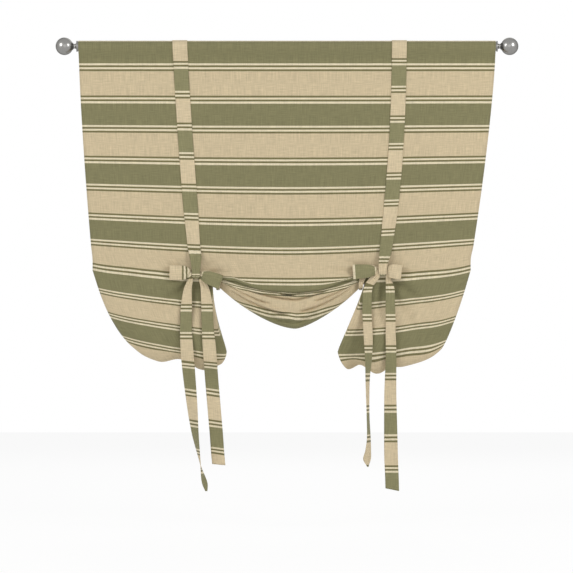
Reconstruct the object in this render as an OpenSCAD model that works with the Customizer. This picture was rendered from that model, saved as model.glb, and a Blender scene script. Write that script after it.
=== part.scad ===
// Balloon curtain: a tie-up cloth panel hung by its rod pocket on a
// telescopic rod with ball finials, drawn up by two pairs of ties knotted in bows.
// Millimetres. The origin is on the rod's axis, midway along the panel.
// +X runs to the viewer's right, -Y faces the room, +Z is up.

/* [Panel] */
// Finished width of the panel
panel_w = 1067; // [900:1:1300]
// Thickness of the cloth
cloth_t = 1.2; // [0.8:0.1:1.6]
// Cloth length from the top ridge to the rod pocket's seam
pocket_l = 62; // [50:1:90]
// How far each top corner stands out past the panel's width
pocket_spread = 1.8; // [0:0.1:4]
// How far the middle of the panel bellies forward at the bows
belly = 34; // [10:1:50]
// How far each lower tail bellies forward
tail_belly = 10; // [0:1:20]
// How far the side edges curl back at the bows
edge_curl = 20; // [0:1:40]
// How far the side edges are drawn up at the bows
edge_lift = 32; // [10:1:60]
// Share of its width that the left half loses at the bow
left_gather = 0.064; // [0.02:0.001:0.16]
// Share of its width that the right half loses at the bow
right_gather = 0.116; // [0.02:0.001:0.16]

/* [Drape] */
// Drop from the rod's axis to the bows
bow_drop = 589; // [520:1:640]
// Drop from the rod's axis to the middle of the swag
swag_drop = 724; // [700:1:760]
// Drop from the rod's axis to the bottom of the tails
tail_drop = 822; // [790:1:860]
// Depth of the turned-under pouf, front to back
puff = 42; // [34:1:56]
// How far the swag's lowest point lies to the right of the middle
swag_skew = 20; // [-40:1:40]
// How far the left tail's inner fold flares towards the middle
left_flare = 47; // [10:1:90]
// How far the right tail's inner fold flares towards the middle
right_flare = 84; // [10:1:90]
// How far the left tail's outer edge rounds inwards at its bottom
left_round = 118; // [40:1:120]
// How far the right tail's outer edge rounds inwards at its bottom
right_round = 79; // [40:1:120]
// Depth of the soft flutes that run down each tail
flute = 5; // [0:0.5:8]
// Height of the scallops that the flutes make along each tail's bottom
scallop = 10; // [0:0.5:14]
// How much fuller the right tail hangs in its middle
right_fullness = 14; // [0:1:20]

/* [Ties] */
// Width of a tie
tie_w = 38; // [30:1:44]
// Thickness of a tie, two layers of cloth pressed flat
tie_t = 1.4; // [1:0.1:1.8]
// Gap between a tie and the cloth that it lies on
tie_gap = 0.3; // [0.2:0.1:0.6]
// Left tie's place at the top, from the middle
left_tie_x = 275; // [220:1:320]
// Right tie's place at the top, from the middle
right_tie_x = 288; // [220:1:320]
// Left bow's place, from the middle
left_bow_x = 233; // [210:1:270]
// Right bow's place, from the middle
right_bow_x = 245; // [210:1:270]
// Reach of the left bow's inner loop from its knot
left_inner_loop = 68; // [60:1:80]
// Reach of the left bow's outer loop from its knot
left_outer_loop = 67; // [45:1:80]
// Reach of the right bow's inner loop from its knot
right_inner_loop = 76; // [60:1:80]
// Reach of the right bow's outer loop from its knot
right_outer_loop = 48; // [45:1:80]
// Height of the left knot above the gathered line
left_rise = 8; // [0:1:16]
// Height of the right knot above the gathered line
right_rise = 15; // [0:1:16]
// Droop of the left bow's inner loop, in degrees
left_inner_droop = 21; // [0:1:25]
// Droop of the right bow's inner loop, in degrees
right_inner_droop = 4; // [0:1:25]
// Droop of the right bow's outer loop, in degrees
right_outer_droop = 8; // [0:1:20]
// Hanging length of the left bow's outer tail
left_outer_tail = 552; // [380:1:600]
// Hanging length of the left bow's inner tail
left_inner_tail = 486; // [380:1:600]
// Hanging length of the right bow's outer tail
right_outer_tail = 552; // [380:1:600]
// Hanging length of the right bow's inner tail
right_inner_tail = 490; // [380:1:600]

/* [Rod] */
// Outside diameter of the outer tube
outer_tube_d = 25.4; // [22:0.1:30]
// Wall of both tubes
tube_wall = 0.9; // [0.7:0.1:1.4]
// Length of each tube
tube_l = 711; // [640:1:800]
// Radial clearance between the two tubes
tube_clear = 0.2; // [0.1:0.05:0.4]
// Gap between the outer tube and the pocket
pocket_gap = 0.5; // [0.4:0.1:1]
// Bare rod between the pocket's corner and a finial's collar
end_gap = 2; // [1:0.5:6]

/* [Finial] */
// Diameter of the ball
ball_d = 45; // [36:0.5:56]
// Diameter of the neck at its narrowest
neck_d = 12; // [10:0.5:14]
// Length of the cove between the ball and the collar
neck_l = 9; // [7:0.5:14]
// Diameter of the collar
collar_d = 28; // [26:0.5:34]
// Thickness of the collar
collar_t = 3; // [2:0.5:5]
// Diameter of the stud that holds the finial in its plug
stud_d = 8; // [6:0.5:9]
// Length of an end plug
plug_l = 22; // [16:1:30]

/* [Hidden] */
$fn = 96;

cloth_colour = "#d0bb96";
tie_colour = "#868160";
steel_colour = "#9a9a98";
plug_colour = "#d8d6d0";

half_w = panel_w/2;
seam_gap = 0.3;
plug_clear = 0.1;
stud_clear = 0.1;

// The pocket's cloth lies on a circle round the outer tube, then closes to the seam.
pocket_r = outer_tube_d/2 + pocket_gap + cloth_t/2;
pocket_arc = pocket_r*PI/2;
bow_t = bow_drop + pocket_arc;
gather_t = bow_t - 52;
loose_t = bow_t + 24;

// The loose cloth is nearly twice as long as the tails, because it turns under and goes back up.
cloth_l = loose_t + 1.91*(tail_drop - bow_drop);

// Shares of the half panel, as cloth, that make the swag and each tail.
swag_a = 0.435*half_w;
fold_a = 0.49*half_w;
gather_in = 36;
notch = 6;
taper_power = 1.25;
tie_depth = 6;

inner_tube_d = outer_tube_d - 2*tube_wall - 2*tube_clear;
rod_end = half_w + pocket_spread + end_gap;

// Cloth sections below the bows. Each row is the share of the loose cloth,
// the depth as a share of the pouf, and the drop as a share of the whole drop.
SWAG = [[0, -0.95, 0.15], [0.045, -0.95, 0.28], [0.075, -0.74, 0.325], [0.103, -0.5, 0.298],
        [0.132, -0.53, 0.318], [0.17, -0.72, 0.375], [0.247, -0.88, 0.54], [0.31, -0.86, 0.67],
        [0.355, -0.78, 0.785], [0.405, -0.52, 0.95], [0.435, -0.2, 1], [0.468, 0.06, 0.935],
        [0.55, 0.22, 0.727], [0.607, 0.36, 0.585], [0.643, 0.5, 0.6], [0.72, 0.64, 0.83],
        [0.755, 0.78, 0.845], [0.82, 0.9, 0.655], [1, 1, 0.11]];
TAIL = [[0, -0.2, 0.077], [0.148, -0.34, 0.32], [0.31, -0.43, 0.57], [0.48, -0.38, 0.84],
        [0.56, -0.2, 0.96], [0.603, 0.07, 1], [0.646, 0.34, 0.96], [0.753, 0.57, 0.78],
        [0.888, 0.72, 0.53], [1, 0.79, 0.32]];

function clamp01(v) = min(1, max(0, v));
function ease(v) = let (c = clamp01(v)) c*c*(3 - 2*c);
function mix(a, b, k) = a + (b - a)*k;
function unit(v) = v/norm(v);
function by_side(side, left, right) = side < 0 ? left : right;

// A smooth curve through the rows of a table whose first column rises.
function hermite(a, b, da, db, k) =
    (2*k^3 - 3*k^2 + 1)*a + (k^3 - 2*k^2 + k)*da + (3*k^2 - 2*k^3)*b + (k^3 - k^2)*db;
function slope(rows, i) =
    let (n = len(rows) - 1, lo = max(0, i - 1), hi = min(n, i + 1))
    (rows[hi] - rows[lo])/(rows[hi][0] - rows[lo][0]);
function segment(rows, v, i = 0) = i >= len(rows) - 2 || v < rows[i + 1][0] ? i : segment(rows, v, i + 1);
function along(rows, v) =
    let (i = segment(rows, v), step = rows[i + 1][0] - rows[i][0])
    hermite(rows[i], rows[i + 1], slope(rows, i)*step, slope(rows, i + 1)*step, (v - rows[i][0])/step);

// The panel above the bows: cloth place a across and t down, on the pocket and the flat drop.
function gather(side) = by_side(side, left_gather, right_gather);
function taper(t) = pow(clamp01((t - pocket_l)/(bow_t - pocket_l)), taper_power);
function depth_across(a) =
    let (inner = clamp01(a/fold_a), outer = clamp01((a - fold_a)/(half_w - fold_a)))
    -tie_depth - belly*pow(1 - inner*inner, 2.6) - tail_belly*pow(sin(180*outer), 2) + edge_curl*pow(outer, 3);
function pocket_y(t) =
    let (closing = ease((abs(t) - pocket_arc)/(pocket_l - pocket_arc)))
    t < 0 ? mix(pocket_r, cloth_t + seam_gap, closing) : mix(-pocket_r, 0, closing);
function spread(t) = pocket_spread/half_w*(1 - ease(abs(t)/(pocket_arc + pocket_l)));
function upper(side, a, t) =
    let (turn = t/pocket_arc*90,
         lift = edge_lift*pow(a/half_w, 1.6)*pow(clamp01(t/bow_t), 2.5),
         x = side*a*(1 - gather(side)*taper(t) + spread(t)))
    abs(t) < pocket_arc ? [x, -pocket_r*sin(turn), pocket_r*cos(turn)]
                        : [x, pocket_y(t) + depth_across(a)*taper(t), pocket_arc - abs(t) + lift];

// The cloth below the bows, where u runs from 0 at the bows to 1 at the hem.
function bow_x(side) = by_side(side, left_bow_x, right_bow_x);
function bunch(side, u) =
    [side*(bow_x(side) - gather_in - notch), mix(-0.1, 0.8, u)*puff, -bow_drop - 10 - 6*cos(1080*u)];
// The swag turns under sooner near the bows, so less of its cloth shows there.
function swag_share(xi, u) =
    let (fold = 0.435 - 0.19*pow(abs(xi), 1.5))
    u < fold ? u*0.435/fold : mix(0.435, 1, (u - fold)/(1 - fold));
function swag(xi, u) =
    let (section = along(SWAG, swag_share(xi, u)),
         lean = swag_skew/(left_bow_x + right_bow_x)*2*(1 - xi*xi),
         rise = 1 - pow(abs(xi - lean), xi < lean ? 1.75 : 1.4),
         start = bunch(-1, u),
         end = bunch(1, u),
         hung = [0, section[1]*puff, -bow_drop - section[2]*(swag_drop - bow_drop)],
         held = mix(start, end, (xi + 1)/2))
    [held[0], mix(held[1], hung[1], max(0, rise)), mix(held[2], hung[2], max(0, rise))];
function fold_x(side, u) =
    let (flare = by_side(side, left_flare, right_flare),
         bend = by_side(side, 1.6, 0.9),
         spread = flare*pow(min(1, u/0.48), bend)*(1 - ease((u - 0.48)/0.32)))
    bow_x(side) - gather_in + notch - spread;
function edge_x(side, u) =
    let (bend = u < 0.6 ? mix(pow(u/0.6, 4), u/0.6, by_side(side, 0.59, 0.8)) : mix(1, 0.75, (u - 0.6)/0.4))
    half_w*(1 - gather(side)) - by_side(side, left_round, right_round)*bend;
function flutes(side, w) =
    side > 0 ? cos(360*(w - 0.31)/0.36)*(1 - ease((w - 0.3)/0.35))
    : w < 0.76 ? cos(360*(w - 0.76)/0.56) : 1 - pow((w - 0.76)/0.24, 4);
function fullness(w) = w < 0.5 ? sin(180*w) : 1 - pow(2*w - 1, 6);
function tail(side, w, u) =
    let (section = along(TAIL, u),
         front = 1 - ease((u - 0.45)/0.2),
         lift = pow(w, 2.1)*(edge_lift + 11*min(1, u/0.4)),
         turn = ease((u - 0.49)/0.11)*(1 - ease((u - 0.66)/0.16)),
         lobes = turn*(scallop*flutes(side, w) + by_side(side, 0, right_fullness)*fullness(w)),
         folds = flute*flutes(side, w)*ease(u/0.3)*front,
         round_out = -tail_belly*pow(sin(180*w), 2)*front + edge_curl*w*w*w*front)
    [side*mix(fold_x(side, u), edge_x(side, u), w),
     section[1]*puff + round_out - folds,
     -bow_drop - section[2]*(tail_drop - bow_drop) + lift - lobes];
function inner_return(side, r, u) =
    let (start = tail(side, 0, u),
         end = bunch(side, u),
         turn = 9*ease(u/0.12)*(1 - ease((u - 0.62)/0.1)),
         c1 = start - [side*turn, 0, 0],
         steep = mix(c1, end, by_side(side, 1.1, 0.75)),
         c2 = [steep[0], start[1] + 1.3*turn, mix(start[2], end[2], 0.5)])
    pow(1 - r, 3)*start + 3*r*pow(1 - r, 2)*c1 + 3*r*r*(1 - r)*c2 + pow(r, 3)*end;

// Columns of the panel, each [side, zone, place in the zone], from the left edge to the right.
tail_columns = 9;
return_columns = 4;
swag_columns = 7;
right_columns = concat(
    [for (i = [1:swag_columns]) [1, "swag", i/swag_columns]],
    [for (i = [1:return_columns]) [1, "return", i/return_columns]],
    [for (i = [1:tail_columns]) [1, "tail", i/tail_columns]]);
COLUMNS = concat(
    [for (i = [len(right_columns) - 1:-1:0]) [-1, right_columns[i][1], right_columns[i][2]]],
    [[1, "swag", 0]],
    right_columns);

function cloth_place(zone, v) =
    zone == "swag" ? swag_a*v : zone == "return" ? mix(swag_a, fold_a, v) : mix(fold_a, half_w, v);
function loose(side, zone, v, u) =
    zone == "swag" ? swag(side*v, u)
    : zone == "return" ? inner_return(side, 1 - v, u)
    : tail(side, v, u);
function cloth(column, t) =
    let (flat = upper(column[0], cloth_place(column[1], column[2]), t),
         k = ease((t - gather_t)/(loose_t - gather_t)),
         u = clamp01((t - loose_t)/(cloth_l - loose_t)))
    k == 0 ? flat : mix(flat, loose(column[0], column[1], column[2], u) + [0, 0, max(0, loose_t - t)], k);

// Rows of the panel, as cloth lengths from the ridge: pocket, drop, gather and loose cloth.
ROWS = concat(
    [for (i = [4:-1:1]) -mix(pocket_arc, pocket_l, i/4)],
    [for (i = [-5:5]) i/5*pocket_arc],
    [for (i = [1:4]) mix(pocket_arc, pocket_l, i/4)],
    [for (i = [1:5]) mix(pocket_l, gather_t, i/5)],
    [for (i = [1:5]) mix(gather_t, loose_t, i/5)],
    [for (i = [1:30]) mix(loose_t, cloth_l, i/30)]);

// A sheet of even thickness over a grid of points.
module sheet(grid, thick) {
    nr = len(grid);
    nc = len(grid[0]);
    normals = [for (i = [0:nr - 1]) [for (j = [0:nc - 1])
        unit(cross(grid[i][min(nc - 1, j + 1)] - grid[i][max(0, j - 1)],
                   grid[min(nr - 1, i + 1)][j] - grid[max(0, i - 1)][j]))]];
    function at(layer, i, j) = layer*nr*nc + i*nc + j;
    points = [for (layer = [1, -1]) for (i = [0:nr - 1]) for (j = [0:nc - 1])
        grid[i][j] + layer*normals[i][j]*thick/2];
    cells = [for (i = [0:nr - 2]) for (j = [0:nc - 2]) [i, j]];
    faces = concat(
        [for (c = cells) [at(0, c[0], c[1]), at(0, c[0] + 1, c[1] + 1), at(0, c[0], c[1] + 1)]],
        [for (c = cells) [at(0, c[0], c[1]), at(0, c[0] + 1, c[1]), at(0, c[0] + 1, c[1] + 1)]],
        [for (c = cells) [at(1, c[0], c[1]), at(1, c[0], c[1] + 1), at(1, c[0] + 1, c[1] + 1)]],
        [for (c = cells) [at(1, c[0], c[1]), at(1, c[0] + 1, c[1] + 1), at(1, c[0] + 1, c[1])]],
        [for (i = [0:nr - 2]) each [
            [at(0, i, 0), at(1, i, 0), at(1, i + 1, 0)],
            [at(0, i, 0), at(1, i + 1, 0), at(0, i + 1, 0)],
            [at(0, i, nc - 1), at(1, i + 1, nc - 1), at(1, i, nc - 1)],
            [at(0, i, nc - 1), at(0, i + 1, nc - 1), at(1, i + 1, nc - 1)]]],
        [for (j = [0:nc - 2]) each [
            [at(0, 0, j), at(1, 0, j + 1), at(1, 0, j)],
            [at(0, 0, j), at(0, 0, j + 1), at(1, 0, j + 1)],
            [at(0, nr - 1, j), at(1, nr - 1, j), at(1, nr - 1, j + 1)],
            [at(0, nr - 1, j), at(1, nr - 1, j + 1), at(0, nr - 1, j + 1)]]]);
    polyhedron(points, faces, convexity = 10);
}

module curtain_panel() {
    color(cloth_colour) sheet([for (t = ROWS) [for (c = COLUMNS) cloth(c, t)]], cloth_t);
}

// Ties. A stop is [outward from the knot, depth, height above the knot,
// direction of the tie's width as outward and up, width], and a path of stops
// is smoothed with extra stops between. Depth 0 is just in front of the panel at the knot.
knot_lift = 1.6;
knot_y = -tie_depth - cloth_t/2 - knot_lift;
function knot(side) = [side*bow_x(side), knot_y, -bow_drop];
function stop_centre(side, s) = knot(side) + [side*s[0], s[1], s[2]];
function stop_edges(side, s) =
    let (across = unit([side*s[3], s[5] ? s[5] : 0, s[4]]), half = across*s[6]/2, c = stop_centre(side, s))
    [c - half, c + half];
function stop(o, y, z, across, w) = [o, y, z, across[0], across[1], across[2], w];
flat_w = [1, 0, 0];
upright_w = [0, 1, 0];
rising_w = [0.7, 0.7, 0];
falling_w = [0.7, -0.7, 0];
downright_w = [0, -1, 0];
function twisted_w(turn) = [cos(turn), 0, sin(turn)];

// Extra stops between the given ones, on a smooth curve through them.
function numbered(list) = [for (i = [0:len(list) - 1]) concat([i], list[i])];
function smoothed(list, steps) =
    let (rows = numbered(list), n = len(list) - 1)
    [for (i = [0:n*steps]) let (row = along(rows, i/steps)) [for (k = [1:len(row) - 1]) row[k]]];

// A ribbon between two lists of edge points.
module ribbon(edges, thick) {
    n = len(edges) - 1;
    centres = [for (e = edges) (e[0] + e[1])/2];
    normals = [for (i = [0:n])
        unit(cross(centres[min(n, i + 1)] - centres[max(0, i - 1)], edges[i][1] - edges[i][0]))];
    points = [for (i = [0:n]) each [
        edges[i][0] + normals[i]*thick/2, edges[i][1] + normals[i]*thick/2,
        edges[i][1] - normals[i]*thick/2, edges[i][0] - normals[i]*thick/2]];
    faces = concat(
        [[0, 1, 2], [0, 2, 3], [4*n, 4*n + 2, 4*n + 1], [4*n, 4*n + 3, 4*n + 2]],
        [for (i = [0:n - 1]) for (k = [0:3]) let (a = 4*i + k, b = 4*i + (k + 1)%4) each [
            [a, b + 4, b], [a, a + 4, b + 4]]]);
    polyhedron(points, faces, convexity = 10);
}

// Where a tie lies on the panel's front (face 1) or on the pocket's back (face -1).
function tie_x(side, t) =
    mix(by_side(side, left_tie_x, right_tie_x), bow_x(side), pow(clamp01(t/bow_t), by_side(side, 1.25, 2.1)));
function on_panel(side, x, t, lying) =
    let (a = x/(1 - gather(side)*taper(t) + spread(t)),
         down = upper(side, a, t + 0.5) - upper(side, a, t - 0.5),
         out = unit([0, down[2], -down[1]]))
    upper(side, a, t) + out*lying;
function lying_edges(side, t, w) =
    let (x = tie_x(side, abs(t)), lying = cloth_t/2 + tie_gap + tie_t/2)
    [on_panel(side, x - w/2, t, lying), on_panel(side, x + w/2, t, lying)];

// Front of a tail's cloth at a place outward from the knot and a height above it.
TAIL_FRONT = [for (row = TAIL) if (row[0] < 0.61) [row[2], row[0]]];
function tail_front(side, o, z) =
    let (share = min(1, max(TAIL_FRONT[0][0], -z/(tail_drop - bow_drop))),
         u = along(TAIL_FRONT, share)[1],
         w = (bow_x(side) + o - fold_x(side, u))/(edge_x(side, u) - fold_x(side, u)))
    tail(side, clamp01(w), u)[1] - knot_y;

// The hanging end of a tie: a list of [share of the length, outward, gap in front, twist, width].
function hanging(side, rows, length) =
    [for (r = rows) let (
        z = -r[0]*length,
        reach = r[4]/2*cos(r[3]),
        clear = cloth_t/2 + tie_gap + tie_t/2 + r[2] + r[4]/2*abs(sin(r[3])),
        front = min([for (k = [-2:2]) for (dz = [-16, 0, 16]) tail_front(side, r[1] + k*reach/2, z + dz)]))
        stop(r[1], front - clear, z, twisted_w(r[3]), r[4])];

OUTER_TAIL = [
    [[0.06, 21, 2, 0, 20], [0.13, 24, 2, 0, 28], [0.2, 25, 2, 0, 30], [0.27, 25, 2, 0, 31],
     [0.34, 23, 2, 4, 33], [0.41, 20, 2, 8, 33], [0.55, 13, 2, 25, 32], [0.72, 3, 2, 55, 32],
     [0.84, -9, 2, 85, 30], [0.93, -20, 2, 115, 26], [1, -27, 2, 140, 16]],
    [[0.06, 19, 2, 0, 22], [0.13, 19, 2, 0, 24], [0.2, 20, 2, 0, 25], [0.27, 20, 2, 0, 26],
     [0.34, 21, 2, 0, 27], [0.41, 21, 2, 0, 28], [0.55, 20, 2, 5, 31], [0.72, 21, 2, 0, 34],
     [0.84, 22, 2, 0, 35], [0.93, 24, 2, 0, 35], [1, 25, 2, 0, 35]]];
INNER_TAIL = [
    [[0.06, -22, 4, 0, 21], [0.13, -27, 3, 0, 28], [0.21, -29, 3, 0, 30], [0.29, -31, 3, 0, 31],
     [0.37, -34, 3, 0, 34], [0.45, -37, 3, 0, 34], [0.55, -40, 3, 0, 34], [0.72, -47, 2, 0, 34],
     [0.84, -52, 2, 0, 34], [0.93, -55, 2, 0, 34], [1, -58, 2, 0, 34]],
    [[0.06, -37, 4, 0, 22], [0.13, -40, 4, 0, 24], [0.21, -40, 4, 0, 24], [0.29, -38, 4, 14, 24],
     [0.37, -37, 4, 34, 25], [0.45, -37, 3, 52, 26], [0.55, -39, 2, 68, 27], [0.72, -40, 2, 76, 28],
     [0.84, -41, 2, 68, 28], [0.93, -43, 2, 50, 28], [1, -41, 2, 62, 22]]];

// A bow's loop: out from the knot along the cloth and back in front of itself. Each row is
// [share of the reach, depth, width]. The way is 1 outward or -1 inward, and the face is 1 or -1.
function loop_stops(rows, way, reach, droop, face, rise) =
    [for (r = rows) stop(way*reach*r[0]*cos(droop), r[1], rise - reach*r[0]*sin(droop),
        face*[way*sin(droop), cos(droop), 0], r[2])];
INNER_LOOP = [[0.2, -6.6, 22], [0.38, -7.2, 31], [0.68, -9.2, 36], [0.93, -11.4, 37], [1, -14.4, 37],
              [0.93, -17.6, 37], [0.68, -19, 36], [0.42, -16, 31], [0.27, -12.2, 20]];
OUTER_LOOP = [[0.38, -8.6, 30], [0.68, -12.2, 37], [0.93, -14.6, 38], [1, -17.4, 38],
              [0.93, -20.2, 38], [0.68, -21.2, 37], [0.46, -18.2, 35], [0.33, -13.8, 28]];

// Front tie: down the panel's front, round the knot, out to the inner loop and back, then hanging.
module front_tie(side) {
    tail_l = by_side(side, left_inner_tail, right_inner_tail);
    rows = by_side(side, INNER_TAIL[0], INNER_TAIL[1]);
    reach = by_side(side, left_inner_loop, right_inner_loop);
    droop = by_side(side, left_inner_droop, right_inner_droop);
    rise = by_side(side, left_rise, right_rise);
    lie_end = gather_t - rise - 4;
    lying = [for (t = [4, 8, 12, 16, 20, 24, 32, 42, 52, pocket_l, 160, 300, 420, lie_end - 36, lie_end])
        lying_edges(side, t, tie_w*(1 - 0.13*ease((t - 420)/(lie_end - 420))))];
    stops = concat(
        [stop(by_side(side, 0.6, 6), -9, rise + 40, flat_w, 30),
         stop(by_side(side, 0, 1.5), -13, rise + 17, flat_w, 23),
         stop(0, -14.5, rise + 2, flat_w, 21), stop(0, -14.2, rise - 9, flat_w, 20),
         stop(0, -11, rise - 14.5, flat_w, 12), stop(0, -7.6, rise - 13.2, flat_w, 11),
         stop(0, -6.4, rise - 7.5, flat_w, 11), stop(-2.5, -6.4, rise - 2, rising_w, 13)],
        loop_stops(INNER_LOOP, -1, reach, droop, 1, rise),
        [stop(-15.5, -10.8, rise - 8, rising_w, 13)],
        by_side(side, [stop(-14.5, -10.4, 0.6*rise - 16, flat_w, 13)],
            [stop(-15, -10.6, 0.6*rise - 10, flat_w, 15), stop(-25, -10.8, -11, falling_w, 19)]),
        hanging(side, rows, tail_l));
    edges = concat(lying, [for (s = smoothed(stops, 2)) stop_edges(side, s)]);
    color(tie_colour) ribbon(by_side(side, [for (e = edges) [e[1], e[0]]], edges), tie_t);
}

// Back tie: down behind the panel, under the bunched cloth, across the knot to the outer loop, then hanging.
module back_tie(side) {
    tail_l = by_side(side, left_outer_tail, right_outer_tail);
    rows = by_side(side, OUTER_TAIL[0], OUTER_TAIL[1]);
    reach = by_side(side, left_outer_loop, right_outer_loop);
    droop = by_side(side, 0, right_outer_droop);
    behind = -gather_in - notch - 14;
    clear_back = puff*0.8 + 7 - knot_y;
    start_o = by_side(side, left_tie_x, right_tie_x) - bow_x(side);
    rise = by_side(side, left_rise, right_rise);
    lying = [for (t = [4, 8, 12, 16, 20, 24, 30, 36]) lying_edges(side, -t, tie_w)];
    stops = concat(
        [stop(start_o - 4, 14, bow_drop - 90, flat_w, tie_w),
         stop(mix(start_o, behind, 0.4), 26, 0.6*bow_drop, flat_w, tie_w),
         stop(mix(start_o, behind, 0.8), 40, 0.25*bow_drop, flat_w, tie_w),
         stop(behind, clear_back, 40, flat_w, 34),
         stop(behind, clear_back, -2, flat_w, 18), stop(behind, clear_back - 6, -25, flat_w, 11),
         stop(behind, 0.6*clear_back, -34, flat_w, 7.5), stop(behind, 0.25*clear_back, -35, flat_w, 7.5),
         stop(behind, -4.6, -29.5, flat_w, 10), stop(behind + 1, -6.2, -17, flat_w, 12),
         stop(behind + 6, -5.6, 0.3*rise - 8, falling_w, 14),
         stop(behind + 18, -4.5, 0.7*rise - 4, downright_w, 15),
         stop(-14, -3.8, rise - 1, downright_w, 15), stop(0, -3.8, rise, downright_w, 15),
         stop(8, -4.7, rise + 0.5, downright_w, 15), stop(14, -5.8, rise + 0.5, downright_w, 20)],
        loop_stops(OUTER_LOOP, 1, reach, droop, -1, rise),
        [stop(15.5, -11.4, rise - 7, falling_w, 13), stop(14.5, -11, 0.6*rise - 15, flat_w, 13)],
        hanging(side, rows, tail_l));
    edges = concat(lying, [for (s = smoothed(stops, 2)) stop_edges(side, s)]);
    color(tie_colour) ribbon(by_side(side, [for (e = edges) [e[1], e[0]]], edges), tie_t);
}

module along_x(x) {
    translate([x, 0, 0]) rotate([0, 90, 0]) children();
}

module tube(length, d) {
    difference() {
        cylinder(h = length, d = d);
        translate([0, 0, -1]) cylinder(h = length + 2, d = d - 2*tube_wall);
    }
}

module outer_tube() {
    color(steel_colour) along_x(-rod_end) tube(tube_l, outer_tube_d);
}

module inner_tube() {
    color(steel_colour) along_x(rod_end - tube_l) tube(tube_l, inner_tube_d);
}

// Plug pressed into a tube's end, bored for the finial's stud.
module end_plug(tube_d) {
    color(plug_colour) difference() {
        cylinder(h = plug_l, d = tube_d - 2*tube_wall - 2*plug_clear);
        translate([0, 0, -1]) cylinder(h = plug_l + 2, d = stud_d + 2*stud_clear);
    }
}

module left_end_plug() {
    along_x(-rod_end) end_plug(outer_tube_d);
}

module right_end_plug() {
    along_x(rod_end - plug_l) end_plug(inner_tube_d);
}

// Turned finial on its own axis: stud below, collar at 0, cove, then the ball.
module finial() {
    ball_r = ball_d/2;
    neck_r = neck_d/2;
    cove_r = neck_l/2;
    seat = sqrt(ball_r^2 - neck_r^2);
    ball_z = collar_t + neck_l + seat;
    stud_l = plug_l - 4;
    color(steel_colour) rotate_extrude() {
        difference() {
            union() {
                translate([0, -stud_l]) square([stud_d/2, stud_l + 1]);
                square([collar_d/2, collar_t]);
                translate([0, collar_t - 0.5]) square([neck_r + cove_r, neck_l + 0.5]);
                translate([0, collar_t]) square([neck_r, neck_l + ball_r/2]);
            }
            translate([neck_r + cove_r, collar_t + cove_r]) circle(r = cove_r);
            translate([neck_r + cove_r/2, collar_t + cove_r]) square([cove_r, neck_l]);
        }
        intersection() {
            translate([0, ball_z]) circle(r = ball_r);
            translate([0, ball_z - ball_r]) square([ball_r, ball_d]);
        }
    }
}

module left_finial() {
    translate([-rod_end, 0, 0]) rotate([0, -90, 0]) finial();
}

module right_finial() {
    along_x(rod_end) finial();
}

module left_front_tie() { front_tie(-1); }
module left_back_tie() { back_tie(-1); }
module right_front_tie() { front_tie(1); }
module right_back_tie() { back_tie(1); }

curtain_panel();
left_front_tie();
left_back_tie();
right_front_tie();
right_back_tie();
outer_tube();
inner_tube();
left_end_plug();
right_end_plug();
left_finial();
right_finial();
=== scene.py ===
"""Balloon curtain: a striped tie-up panel on a telescopic rod with ball finials.

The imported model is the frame. The panel, the ties and the finials are rebuilt here as fine
surfaces on the same sizes, and the tubes and plugs keep their solids and get finishes.
Metres throughout: +X to the viewer's right, -Y towards the room, +Z up, origin on the rod's axis.
"""

import logging
import math
from dataclasses import dataclass, field
from enum import Enum
from typing import Sequence

import bpy
import numpy as np
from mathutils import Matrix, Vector


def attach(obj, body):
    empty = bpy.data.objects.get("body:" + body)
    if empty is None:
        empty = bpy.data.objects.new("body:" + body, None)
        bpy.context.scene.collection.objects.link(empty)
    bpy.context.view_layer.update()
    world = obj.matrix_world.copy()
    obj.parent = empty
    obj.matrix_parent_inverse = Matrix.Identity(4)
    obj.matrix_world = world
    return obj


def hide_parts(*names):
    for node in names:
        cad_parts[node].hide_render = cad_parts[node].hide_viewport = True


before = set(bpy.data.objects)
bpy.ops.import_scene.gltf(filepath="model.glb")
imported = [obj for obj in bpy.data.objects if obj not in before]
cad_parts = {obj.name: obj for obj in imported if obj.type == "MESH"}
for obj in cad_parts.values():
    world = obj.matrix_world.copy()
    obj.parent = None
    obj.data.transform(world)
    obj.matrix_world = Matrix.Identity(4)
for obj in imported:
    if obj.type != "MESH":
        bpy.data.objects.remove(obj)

LOG = logging.getLogger("balloon_curtain")
CLOTH_UV = "cloth"
MM = 0.001
Array = np.ndarray
Vec3 = tuple[float, float, float]
Colour = Vec3
Tree = bpy.types.NodeTree
Socket = bpy.types.NodeSocket


class Side(Enum):
    """Which half of the curtain a piece belongs to, as the viewer sees it."""

    LEFT = -1
    RIGHT = 1

    @property
    def label(self) -> str:
        """The side's word, as used in names."""
        return self.name.lower()


class Run(Enum):
    """Which face of the panel a tie runs down."""

    FRONT = "front"
    BACK = "back"


# Small maths shared by the pieces.


def ease(value: Array) -> Array:
    """Smooth step: 3v^2 - 2v^3 on v held between 0 and 1."""
    v = np.clip(value, 0.0, 1.0)
    return v * v * (3.0 - 2.0 * v)


def grow(value: Array, start: Array, over: Array) -> Array:
    """Smooth step from 0 at start to 1 at start + over."""
    return ease((value - start) / over)


def fade(value: Array, start: Array, over: Array) -> Array:
    """Smooth step from 1 at start to 0 at start + over."""
    return 1 - grow(value, start, over)


def share_of(value: Array, start: Array, end: Array) -> Array:
    """Straight share of the way from start, 0, to end, 1, held between the two."""
    return np.clip((value - start) / (end - start), 0, 1)


def mix(a: Array, b: Array, k: Array) -> Array:
    """Straight blend from a at k = 0 to b at k = 1."""
    return a + (b - a) * k


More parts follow.
